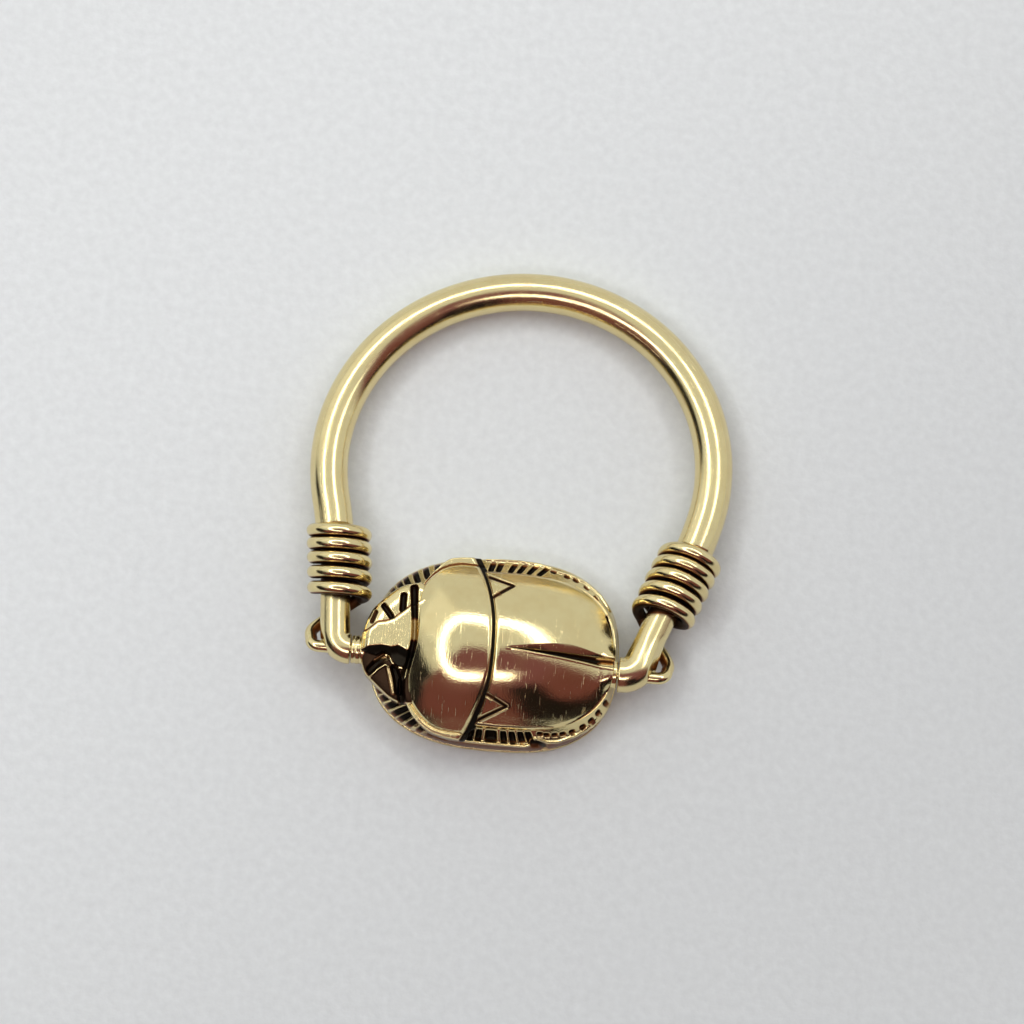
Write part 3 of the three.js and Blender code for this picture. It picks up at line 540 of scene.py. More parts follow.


# Grime and painted shade lie in the gaps of the coil, wherever the wire doesn't face away from the leg, and
# thinner on the inner side of the loops: the dark stands in for the shade between the turns and the leg. The
# coil's open side is less dark.
def makeWire():
    (head, headRadii, headMarks), (tail, tailRadii, tailMarks) = wireRoute(headEnd), wireRoute(tailEnd)
    run = head[-1] + (tail[-1] - head[-1]) * np.linspace(0, 1, wire["runSteps"])[1:-1, None]
    line = np.concatenate([head, run, tail[::-1]])
    radii = np.concatenate([headRadii, np.full(len(run), wire["diameter"] / 2), tailRadii[::-1]])
    marks = np.concatenate([headMarks, np.zeros((len(run), headMarks.shape[1])), tailMarks[::-1]])
    count = len(line)
    line, radii = roundEnds(line, radii, wire["endRounding"], wire["endSteps"])
    place = np.linspace(0, count - 1, len(line))
    marks = np.stack([np.interp(place, np.arange(count), column) for column in marks.T], -1)[:, None]
    away, wound, openSide = marks[..., :3], marks[..., 3], marks[..., 4:]
    rows, grain = sweepRound(line, radii, wire["sides"], np.array([0, 1.0, 0]))
    spokes = unit(rows - rows.mean(1, keepdims=True))
    hidden = wire["innerShare"] * wound - (spokes * away).sum(-1)
    opened = smooth(*wire["openRange"], (spokes * openSide).sum(-1)) * openSide.any(-1)
    grimeAndShade = mix(wire["loopGrimeAndShade"], wire["grimeAndShade"], wound) * smooth(0, wire["grimeAndShadeFade"], hidden)
    grimeAndShade = grimeAndShade * (1 - wire["openLessDark"] * opened)
    piece = ringSurface("wound_wire", fromHoopPlane(rows), {"grain": grain, "patinaAndShade": grimeAndShade})
    return finishPiece(piece, "hoop", ["swivel_wire"], wireGold)


makeWire()
print("wire wound")

beetle = {
    "middleAcross": 0.08, "asideOffset": 0.62, "yaw": 1.5, "saddle": 0.19, "saddleBow": 1.0,
    "saddlePower": 2.4, "saddleHalfWidth": 4.40, "grooveHalfWidth": 0.085, "buried": 1.6,
    "steepest": math.radians(44.5), "sideEase": (2.4, 4.2), "rimSpans": 24, "nearSpans": 5, "farthest": 12.0,
    "halvings": 40, "smallStep": 0.01, "leastSteepness": 1e-4, "burrOut": 1.5, "burrWidth": 0.6,
}


def onBeetle(along, aside, height):
    yaw = math.radians(beetle["yaw"])
    return np.stack([swivel[0] + beetle["middleAcross"] + along * math.cos(yaw) - aside * math.sin(yaw),
                     swivel[1] + beetle["asideOffset"] + along * math.sin(yaw) + aside * math.cos(yaw),
                     height], -1)


# Where the prothorax meets the wing cases: a line bowed towards the tail in the middle
def saddleAlong(aside):
    share = np.abs(aside / beetle["saddleHalfWidth"])
    return beetle["saddle"] - beetle["saddleBow"] * share ** beetle["saddlePower"]


# How far out a place lies in an oval whose head and tail halves differ: 0 in the middle, 1 on its edge
def ovalShare(oval, along, aside):
    past = along - oval["widest"]
    length = np.where(past < 0, oval["headLength"], oval["tailLength"])
    power = np.where(past < 0, oval["headPower"], oval["tailPower"])
    return (np.abs(past / length) ** power + np.abs(aside / oval["halfWidth"]) ** power) ** (1 / power)


# Distance in from an oval's edge: what its share lacks of one, over how fast the share grows there
def insideOval(oval, along, aside):
    share, step = ovalShare(oval, along, aside), beetle["smallStep"]
    steepness = np.hypot(ovalShare(oval, along + step, aside) - share,
                         ovalShare(oval, along, aside + step) - share)
    return (1 - share) * step / np.maximum(steepness, beetle["leastSteepness"])


# How far a round arc has fallen at a distance from its top: its radius less the root of the radius squared
# minus the distance squared, and a straight slope beyond where the arc gets steepest
def fallAway(radius, distance):
    reach = np.minimum(np.abs(distance), math.sin(beetle["steepest"]) * radius)
    straight = (np.abs(distance) - reach) * math.tan(beetle["steepest"])
    return radius - np.sqrt(radius ** 2 - reach ** 2) + straight


# Height of a crown: its top, less the fall along the beetle from its ridge and the fall towards the sides.
# Near the sides the fall along is eased by a share.
def crownHeight(crown, along, aside):
    past = along - crown["ridge"]
    radius = np.where(past < 0, crown["headRadius"], crown["tailRadius"])
    ease = 1 - crown["ease"] * smooth(*beetle["sideEase"], np.abs(aside))
    return crown["top"] - ease * fallAway(radius, past) - fallAway(crown["asideRadius"], aside)


# How full a rounded shoulder is at a distance in from its foot: a quarter circle, upright at the foot
def shoulderShare(distance, width):
    share = np.clip(distance / width, 0, 1)
    return np.sqrt(share * (2 - share))


# The place at a reach and an angle from a middle
def around(middle, reach, angle):
    return middle[0] + reach * np.cos(angle), middle[1] + reach * np.sin(angle)


# The angle and the reach from a middle to a place
def polar(middle, along, aside):
    return np.arctan2(aside - middle[1], along - middle[0]), np.hypot(along - middle[0], aside - middle[1])


# How far an outline lies from a middle in every direction: halving the interval until "outside" changes sign
def rimFrom(middle, angle, outside):
    low, high = np.zeros(angle.shape), np.full(angle.shape, beetle["farthest"])
    for halving in range(beetle["halvings"]):
        tried = (low + high) / 2
        beyond = outside(*around(middle, tried, angle)) > 0
        low, high = np.where(beyond, low, tried), np.where(beyond, tried, high)
    return low


def ovalRim(oval, middle, angle):
    return rimFrom(middle, angle, lambda along, aside: ovalShare(oval, along, aside) - 1)


# A carved cushion of the casting: rays from a middle to its outline, rings closing in towards the middle,
# and a wall that goes down from the outline into the metal below. "carve" gives the height and the value of
# patina and painted shade at each place.
def carvedCushion(name, size, outside, carve):
    angle = 2 * np.pi * np.arange(size["rays"]) / size["rays"]
    rim = rimFrom(size["middle"], angle, outside)
    step = np.arange(size["rings"]) / size["rings"]
    share = size["edgeShare"] * np.cos(np.pi / 2 * step) + (1 - size["edgeShare"]) * (1 - step)
    along, aside = around(size["middle"], share[:, None] * rim, angle)
    height, patinaAndShade = carve(along, aside)
    down = np.linspace(0, 1, size["wallRings"] + 1)[:-1, None]
    wall = beetle["buried"] + (height[0] - beetle["buried"]) * down
    rows = np.concatenate([onBeetle(along[0] + 0 * wall, aside[0] + 0 * wall, wall),
                           onBeetle(along, aside, height)])
    dark = np.concatenate([np.maximum(patinaAndShade[0], size["wallPatina"]) + 0 * wall, patinaAndShade])
    return finishCasting(ringSurface(name, rows, {"patinaAndShade": dark}))


def finishCasting(piece):
    return finishPiece(piece, "scarab", ["scarab_back"], castGold)


# A line cut or raised on a carving: its shape across is a flat bell, and a cut has a fine burr beside it
def addLines(lines, along, aside, height, patinaAndShade):
    for line in lines:
        distance, place = fromLine(along, aside, line["line"])
        width = line["halfWidth"] * (1 + (line.get("endShare", 1) - 1) * place)
        cut = flatBell(distance, width)
        burr = np.exp(-((distance - beetle["burrOut"] * width) / (beetle["burrWidth"] * width)) ** 2)
        height = height - line["depth"] * cut + line.get("burr", 0) * burr
        patinaAndShade = np.maximum(patinaAndShade * (1 - line.get("bare", 0) * cut), line.get("dark", 0) * cut)
    return height, patinaAndShade


wingCases = {
    "middle": (2.4, 0.0), "rays": 640, "rings": 150, "wallRings": 4, "edgeShare": 0.6, "wallPatina": 0.0,
    "oval": {"widest": 0.8, "headLength": 7.0, "tailLength": 5.8, "halfWidth": 4.14, "headPower": 2.9,
             "tailPower": 2.6},
    "crown": {"top": 4.97, "ridge": 0.2, "headRadius": 10.5, "tailRadius": 9.6, "asideRadius": 5.1,
              "ease": 0.0},
    "tailward": (3.0, 6.0), "sideBase": 2.42, "tailBase": 2.55, "sideShoulder": 0.15, "tailShoulder": 0.24,
    "cover": 3.03, "coverAside": -0.62, "coverHalfWidth": 0.95, "coverAlong": (4.8, 6.3), "coverLift": 0.1,
    "frontDrop": 0.05, "frontDropLength": 0.4, "edgeRound": 0.06, "edgeRoundDepth": 0.09,
    "suture": ((0.72, -0.08), (6.42, -0.33)), "sutureHalfWidth": 0.17, "sutureDepth": 0.28, "hairline": 0.008,
    "sutureOpens": 0.06, "sutureDeepens": 0.5, "sutureCloses": (6.4, 6.6),
    "flankWidth": 0.5, "flankDepth": 0.15, "flankPower": 1.2, "flankLeast": 0.02, "flankOpens": (-0.1, 0.62),
    "flankNarrows": (0.6, 1), "flankNarrowing": 0.75, "flankDeepens": 0.35, "flankDarkReflection": 0.3,
    "burrHeight": 0.02, "burrBeyond": 1.6, "burrGap": 0.02, "burrWidth": 0.05, "burrOpens": 0.1,
    "lines": (
        {"line": ((-0.3, 3.72), (1.03, 3.29), (0.05, 2.58)), "halfWidth": 0.08, "depth": 0.13, "dark": 1,
         "burr": 0.015},
        {"line": ((0.05, -2.55), (1.1, -3.07), (-0.45, -3.86)), "halfWidth": 0.08, "depth": 0.13, "dark": 1,
         "burr": 0.02},
        {"line": ((-0.75, -3.99), (0.6, -4.04), (1.9, -4.0), (3.6, -3.84)), "halfWidth": 0.035, "depth": 0.07,
         "dark": 0.9, "burr": 0.03, "endShare": 0.4},
        {"line": ((-0.45, 4.02), (1.3, 4.05), (2.9, 3.98)), "halfWidth": 0.03, "depth": 0.05, "dark": 0.6,
         "endShare": 0.4},
        {"line": ((6.0, 2.16), (6.22, 1.62), (6.38, 1.05)), "halfWidth": 0.06, "depth": 0.12, "dark": 1,
         "endShare": 0.4},
    ),
}


def carveWingCases(along, aside):
    case = wingCases
    behind = along - saddleAlong(aside)
    tailward = smooth(*case["tailward"], along)
    # The back rises a little over the pivot tube where the tube comes out at the tail
    cover = flatBell(aside - case["coverAside"], case["coverHalfWidth"]) * smooth(*case["coverAlong"], along)
    base = mix(mix(case["sideBase"], case["tailBase"], tailward), case["cover"], cover)
    crown = crownHeight(case["crown"], along, aside)
    crown = mix(crown, np.maximum(crown, case["cover"] + case["coverLift"]), cover)
    crown = crown - case["frontDrop"] * (1 - smooth(0, case["frontDropLength"], behind))
    shoulder = mix(case["sideShoulder"], case["tailShoulder"], tailward)
    height = mix(base, crown, shoulderShare(insideOval(case["oval"], along, aside), shoulder))
    corner = (behind - beetle["grooveHalfWidth"]) / case["edgeRound"]
    height = height - case["edgeRoundDepth"] * np.exp(-corner ** 2)
    (startAlong, startAside), (endAlong, endAside) = case["suture"]
    run = np.clip((along - startAlong) / (endAlong - startAlong), 0, 1)
    offset = aside - startAside - (endAside - startAside) * run
    halfWidth = case["sutureHalfWidth"] * run + case["hairline"]
    cut = flatBell(offset, halfWidth) * smooth(0, case["sutureOpens"], run)
    cut = cut * (1 - smooth(*case["sutureCloses"], along))
    # The upper flank is a ramp down into the cut, widest at two thirds of its length. Its colour is darkened
    # too, a painted dark reflection of the room in the slope
    narrowed = 1 - case["flankNarrowing"] * smooth(*case["flankNarrows"], run)
    flankWidth = case["flankWidth"] * smooth(*case["flankOpens"], run) * narrowed + case["flankLeast"]
    ramp = np.clip(1 - (offset - halfWidth) / flankWidth, 0, 1) * (offset > -halfWidth)
    ramp = ramp * smooth(0, case["flankDeepens"], run)
    fromBurr = offset + case["burrBeyond"] * halfWidth + case["burrGap"]
    burr = np.exp(-(fromBurr / case["burrWidth"]) ** 2) * smooth(0, case["burrOpens"], run)
    height = height - case["sutureDepth"] * cut * smooth(0, case["sutureDeepens"], run)
    height = height - case["flankDepth"] * ramp ** case["flankPower"] + case["burrHeight"] * burr
    return addLines(case["lines"], along, aside, height, np.maximum(cut, case["flankDarkReflection"] * ramp * run))


def wingCasesOutside(along, aside):
    return np.maximum(ovalShare(wingCases["oval"], along, aside) - 1,
                      saddleAlong(aside) + beetle["grooveHalfWidth"] - along)


carvedCushion("wing_cases", wingCases, wingCasesOutside, carveWingCases)
print("wing cases carved")


prothorax = {
    "middle": (-1.9, 0.0), "rays": 640, "rings": 150, "wallRings": 4, "edgeShare": 0.6, "wallPatina": 0.35,
    "outline": ((-0.45, -4.2), (-0.8, -4.4), (-0.84, -4.62), (-0.98, -4.8), (-1.25, -4.86), (-1.95, -4.79),
                (-2.62, -4.62), (-3.13, -4.37), (-3.7, -3.86), (-4.13, -3.22), (-4.35, -2.6), (-4.38, -1.98),
                (-4.28, -1.25), (-4.06, -0.35), (-3.97, 0.5), (-3.93, 1.3), (-3.96, 2.2), (-3.88, 2.82),
                (-3.67, 3.27), (-3.34, 3.76), (-2.99, 4.14), (-2.68, 4.45), (-2.27, 4.69), (-1.5, 4.79),
                (-0.72, 4.79), (-0.52, 4.62), (-0.4, 4.35), (0.0, 4.1), (0.8, 3.9), (2.5, 3.0), (3.0, 0.0),
                (2.5, -3.0), (0.8, -3.9)),
    "domeOutline": ((-0.2, -4.38), (-0.9, -4.48), (-1.6, -4.51), (-2.28, -4.43), (-2.82, -4.24),
                    (-3.32, -3.86), (-3.78, -3.32), (-4.08, -2.8), (-4.2, -2.12), (-4.14, -1.45),
                    (-3.97, -0.7), (-3.86, 0.0), (-3.83, 0.9), (-3.88, 1.9), (-3.82, 2.68), (-3.58, 3.24),
                    (-3.24, 3.66), (-2.82, 4.02), (-2.45, 4.22), (-1.87, 4.37), (-1.3, 4.37), (-0.87, 4.34),
                    (-0.2, 4.3), (1.0, 4.2), (2.6, 3.0), (3.0, 0.0), (2.6, -3.0), (1.0, -4.2)),
    "crown": {"top": 4.96, "ridge": -1.3, "headRadius": 4.3, "tailRadius": 10.0, "asideRadius": 5.5,
              "ease": 0.3},
    "shoulder": 0.13, "flange": 2.76, "flangeSlope": 0.02, "flangeSlopeWidth": 0.15, "flangeRise": 0.2,
    "riseAlong": (-2.2, -3.6), "riseAside": (0, -1.5), "rimRound": 0.06, "rimDrop": 0.06,
    "footOut": 0.03, "footDepth": 0.05, "footWidth": 0.05, "footDark": 0.55, "footDarkAside": (-1, 1),
    "grooveDepth": 0.3, "grooveWidening": 0.11, "wideningAside": (-1.6, -3.6), "grooveSides": (-0.05, 0.03),
    "edgeBack": 0.05, "edgeWidth": 0.07, "edgeDepth": 0.05, "underElytra": 0.25,
}


# Distance from a middle to a closed spline through given points, in every direction
def splineRim(middle, outline, angle):
    spoke = splineThrough(outline, beetle["rimSpans"], closed=True) - np.asarray(middle)
    turn = np.arctan2(spoke[:, 1], spoke[:, 0])
    order = np.argsort(turn)
    return np.interp(angle, turn[order], np.linalg.norm(spoke, axis=1)[order], period=2 * np.pi)


# How far places lie beyond a piece's closed outline, measured from its middle
def beyondOutline(size, outline, along, aside):
    angle, reach = polar(size["middle"], along, aside)
    return reach - splineRim(size["middle"], size[outline], angle)


# Distance in from a piece's closed outline: the nearest point of it, below zero outside
def insideOutline(size, outline, along, aside):
    line = splineThrough(size[outline], beetle["nearSpans"], closed=True)
    nearest = fromLine(along, aside, np.concatenate([line, line[:1]]))[0]
    return nearest * -np.sign(beyondOutline(size, outline, along, aside))


def prothoraxOutside(along, aside):
    return np.maximum(beyondOutline(prothorax, "outline", along, aside),
                      along - saddleAlong(aside) - prothorax["underElytra"])


def carveProthorax(along, aside):
    part = prothorax
    onDome = insideOutline(part, "domeOutline", along, aside)
    onFlange = insideOutline(part, "outline", along, aside)
    flange = part["flange"] - part["flangeSlope"] * np.exp(-np.abs(onFlange) / part["flangeSlopeWidth"])
    flange += part["flangeRise"] * smooth(*part["riseAlong"], along) * smooth(*part["riseAside"], aside)
    flange = flange - part["rimDrop"] * (1 - smooth(0, part["rimRound"], onFlange)) ** 2
    height = mix(flange, crownHeight(part["crown"], along, aside), shoulderShare(onDome, part["shoulder"]))
    foot = flatBell(onDome + part["footOut"], part["footWidth"])
    before = saddleAlong(aside) - along
    halfWidth = beetle["grooveHalfWidth"] + part["grooveWidening"] * smooth(*part["wideningAside"], aside)
    near, far = part["grooveSides"]
    groove = 1 - smooth(halfWidth + near, halfWidth + far, before)
    edge = np.exp(-((before - halfWidth - part["edgeBack"]) / part["edgeWidth"]) ** 2)
    height = height - part["footDepth"] * foot - part["grooveDepth"] * groove - part["edgeDepth"] * edge
    return height, np.maximum(groove, part["footDark"] * foot * smooth(*part["footDarkAside"], aside))


carvedCushion("prothorax", prothorax, prothoraxOutside, carveProthorax)
print("prothorax carved")


head = {
    "middle": (-4.9, 0.0), "rays": 600, "rings": 150, "wallRings": 5, "edgeShare": 0.3, "wallPatina": 0.3,
    "outline": ((-6.72, 0.0), (-6.66, 0.6), (-6.48, 1.22), (-6.17, 1.8), (-5.6, 2.38), (-5.0, 2.86),
                (-4.35, 3.12), (-3.6, 3.1), (-3.1, 2.0), (-3.0, 0.0), (-3.1, -2.0), (-3.7, -3.1),
                (-4.5, -3.16), (-5.04, -2.95), (-5.44, -2.64), (-6.06, -2.1), (-6.42, -1.74), (-6.65, -1.22),
                (-6.72, -0.6)),
    "rise": 0.16, "riseFrom": -6.6, "upperFloor": 3.12, "lowerFloor": 2.95, "rimHeight": 2.72,
    "rimWidth": 0.8, "rimDrop": 0.06, "rimRound": 0.07, "plateHeight": 3.42, "plateSides": (-0.05, 0.05),
    "plateEdge": (0.06, 0.08), "plateFront": (0.3, 0.5), "rollDepth": 0.3, "roll": (-0.05, 0.5),
    "rollDarkReflection": 1.0, "rollReflectionFrom": (-0.03, 0.06),
    "rollLine": ((-6.8, -0.5), (-6.57, -0.46), (-6.3, -0.3), (-5.65, -0.21), (-5.13, -0.29), (-4.76, -0.2),
                 (-4.33, -0.42)),
    "upperEdge": ((-7.2, 0.3), (-6.46, 0.5), (-5.93, 0.96), (-5.51, 1.02), (-5.1, 1.19), (-4.79, 1.45),
                  (-4.26, 1.89), (-3.6, 2.3)),
    "lowerEdge": ((-7.2, -0.45), (-6.4, -0.62), (-5.9, -0.77), (-5.49, -0.55), (-5.15, -0.74), (-4.98, -1.11),
                  (-4.73, -1.3), (-4.45, -1.34), (-3.6, -1.4)),
    "trench": ((-4.15, 2.87), (-4.11, 2.35), (-4.02, 1.41), (-3.98, 0.94), (-3.95, 0.23), (-4.01, -0.24),
               (-4.18, -1.2), (-4.38, -1.75), (-4.47, -1.99), (-4.46, -2.7), (-4.36, -3.25)),
    "trenchHalfWidth": 0.13, "trenchWidening": 0.4, "trenchDepth": 0.45, "trenchBare": 0.75,
    "bareFrom": (0.0, 0.2), "bareTo": (1.15, 1.35), "lowerDarkReflection": 0.95, "lowerAside": (0.2, -0.2),
    "darkFromRim": (0.03, 0.1), "border": (0.06, 0.05), "borderDark": 0.5, "borderTo": -4.1,
    "lines": (
        {"line": ((-5.68, 1.85), (-5.26, 1.32)), "halfWidth": 0.13, "depth": 0.34, "dark": 1},
        {"line": ((-4.67, 2.43), (-4.68, 1.7)), "halfWidth": 0.15, "depth": 0.34, "dark": 1},
        {"line": ((-6.25, 1.0), (-6.08, 1.5)), "halfWidth": 0.1, "depth": 0.16, "dark": 0.9},
        {"line": ((-6.17, -1.55), (-5.83, -1.16), (-5.4, -0.82)), "halfWidth": 0.19, "depth": 0.34,
         "dark": 1},
        {"line": ((-4.9, -1.42), (-4.72, -1.86), (-4.62, -2.6)), "halfWidth": 0.17, "depth": 0.38, "dark": 1},
        {"line": ((-6.14, -1.92), (-5.75, -1.52), (-5.39, -1.26), (-5.18, -1.34)), "halfWidth": 0.055,
         "depth": -0.14, "bare": 1},
        {"line": ((-5.22, -1.42), (-5.05, -2.0), (-4.86, -2.7)), "halfWidth": 0.12, "depth": -0.12,
         "bare": 0.75},
        {"line": ((-5.95, -1.05), (-5.49, -0.72), (-5.2, -0.82), (-5.02, -1.16), (-4.76, -1.36),
                  (-4.5, -1.4)),
         "halfWidth": 0.055, "depth": -0.1, "bare": 1},
    ),
}


# Where one of the head's lines that run along the beetle lies aside
def headLine(name, along):
    return np.interp(along, *np.array(head[name]).T)


def carveHead(along, aside):
    inFrom = insideOutline(head, "outline", along, aside)
    upper, lower = headLine("upperEdge", along), headLine("lowerEdge", along)
    onPlate = smooth(*head["plateSides"], np.minimum(upper - aside, aside - lower))
    rise = head["rise"] * (along - head["riseFrom"])
    beyondRoll = headLine("rollLine", along) - aside
    (edgeDrop, edgeWidth), (frontDrop, frontWidth) = head["plateEdge"], head["plateFront"]
    rounded = edgeDrop * np.exp(-np.abs(upper - aside) / edgeWidth)
    rounded = rounded + frontDrop * (1 - smooth(0, frontWidth, inFrom)) ** 2
    plate = head["plateHeight"] + rise - head["rollDepth"] * smooth(*head["roll"], beyondRoll) - rounded
    floor = np.where(aside > 0, head["upperFloor"], head["lowerFloor"])
    lobe = head["rimHeight"] + rise + (floor - head["rimHeight"]) * shoulderShare(inFrom, head["rimWidth"])
    # Painted dark reflection: the head's lobes are coloured dark below the middle, in place of the dark side
    # of the room seen in the gold
    isLower = smooth(*head["lowerAside"], aside)
    lobe, patinaAndShade = addLines(head["lines"], along, aside, lobe, head["lowerDarkReflection"] * isLower)
    patinaAndShade = patinaAndShade * smooth(*head["darkFromRim"], inFrom)
    height = mix(lobe, plate, onPlate) - head["rimDrop"] * (1 - smooth(0, head["rimRound"], inFrom)) ** 2
    # Painted dark reflection: the plate is coloured dark where it rolls down past the roll line
    patinaAndShade = mix(patinaAndShade, head["rollDarkReflection"] * smooth(*head["rollReflectionFrom"], beyondRoll), onPlate)
    borderOut, borderWidth = head["border"]
    border = flatBell(upper - aside + borderOut, borderWidth) * (along < head["borderTo"])
    distance, place = fromLine(along, aside, head["trench"])
    width = head["trenchHalfWidth"] * (1 + head["trenchWidening"] * np.abs(2 * place - 1) ** 2)
    trench = flatBell(distance, width)
    bare = head["trenchBare"] * smooth(*head["bareFrom"], aside) * (1 - smooth(*head["bareTo"], aside))
    patinaAndShade = np.maximum(np.maximum(patinaAndShade, head["borderDark"] * border), trench * (1 - bare))
    return height - head["trenchDepth"] * trench, np.clip(patinaAndShade, 0, 1)


carvedCushion("head", head, lambda along, aside: beyondOutline(head, "outline", along, aside), carveHead)
print("head carved")


# Legs band and plinth: a wall carried round the beetle, upright at its foot, then slanting in under the
# beetle, with the legs' bars cut across the slanting part. "inset" is measured in from the plinth's outline.
plinth = {
    "oval": {"widest": 0.8, "headLength": 7.103, "tailLength": 5.953, "halfWidth": 5.04, "headPower": 2.6,
             "tailPower": 2.55},
    "inner": {"widest": 0.8, "headLength": 6.45, "tailLength": 5.45, "halfWidth": 3.95, "headPower": 2.6,
              "tailPower": 2.6},
    "columns": 1700, "denser": 8, "middle": (0.3, 0.0), "endPower": 4,
    "wall": ((0.0, 0.53), (0.0, 0.9), (0.02, 1.1), (0.05, 1.28), (0.1, 1.47), (0.16, 1.62)),
    "sideTop": 2.46, "headTop": 2.55, "tailTop": 2.7,
    "slantRows": 50, "slotDepth": 0.26, "slotCorner": 6, "slotDark": 1.5, "markDepth": 0.16,
    "wallShade": 0.6, "wallShadeInset": (0.11, 0.19), "wallShadeAside": (-2.6, -3.4),
    "wallShadeFrom": (-3.6, -2.8), "wallShadeTo": (4.8, 5.6), "innerInset": 0.5, "innerDrop": 0.4,
    "innerFoot": 1.0, "footInset": 1.2,
    "lines": (
        {"line": ((-0.92, -4.74), (0.6, -4.81), (2.17, -4.83), (2.46, -4.72), (2.6, -4.42)),
         "halfWidth": 0.06, "depth": -0.13, "bare": 1},
        {"line": ((2.58, -4.7), (2.92, -4.68), (3.28, -4.78)), "halfWidth": 0.13, "depth": 0.22, "dark": 1},
        {"line": ((2.72, -4.42), (3.3, -4.54), (3.89, -4.48), (4.77, -4.1), (5.6, -3.5), (6.1, -2.9),
                  (6.48, -2.2)), "halfWidth": 0.06, "depth": -0.12, "bare": 1},
        {"line": ((-0.5, 4.84), (0.3, 4.9), (1.28, 4.9), (2.24, 4.8), (2.9, 4.62)), "halfWidth": 0.06,
         "depth": -0.1, "bare": 1},
        {"line": ((3.0, 4.5), (3.9, 4.34), (4.8, 4.0), (5.6, 3.4), (6.2, 2.6)), "halfWidth": 0.06,
         "depth": -0.08, "bare": 1},
    ),
}
# Short marks along the rear legs, where each lies and its half length and half width
legMarks = (
    {"places": ((2.95, -4.22), (3.3, -4.24), (3.72, -4.2), (4.14, -4.11), (4.62, -3.95), (5.16, -3.64),
                (5.58, -3.28), (5.92, -2.84), (6.28, -2.28)), "halfLength": 0.07, "halfWidth": 0.1},
    {"places": ((3.06, 4.44), (3.79, 4.22), (4.27, 4.06), (4.86, 3.71), (5.41, 3.2)), "halfLength": 0.08,
     "halfWidth": 0.08},
)
# Runs of cuts between the legs' bars: where each cut lies, its insets, its half width and how far it leans
barRuns = (
    {"places": ((-6.0, -2.2), (-5.8, -2.58), (-5.46, -2.94), (-5.04, -3.28), (-4.62, -3.6), (-4.24, -3.84),
                (-3.80, -4.1), (-3.3, -4.4), (-2.76, -4.60)),
     "insets": (0.03, 0.78), "halfWidth": 0.18, "lean": 0.12},
    {"places": ((-2.2, -4.68),), "insets": (0.12, 0.3), "halfWidth": 0.35, "lean": 0},
    {"places": ((-0.71, -4.44), (-0.27, -4.44), (1.05, -4.5), (1.52, -4.5), (1.99, -4.48), (2.4, -4.42)),
     "insets": (0.3, 0.8), "halfWidth": 0.175, "lean": 0},
    {"places": ((0.38, -4.5),), "insets": (0.3, 0.8), "halfWidth": 0.34, "lean": 0},
    {"places": ((-0.2, 4.64), (0.22, 4.57), (0.93, 4.6), (1.43, 4.58), (1.98, 4.52), (2.56, 4.48)),
     "insets": (0.3, 0.8), "halfWidth": 0.16, "lean": 0.1},
    {"places": ((-5.4, 2.8), (-4.95, 3.1), (-4.52, 3.3), (-4.12, 3.66), (-3.66, 3.98), (-3.2, 4.36)),
     "insets": (0.03, 0.78), "halfWidth": 0.16, "lean": 0.2},
)


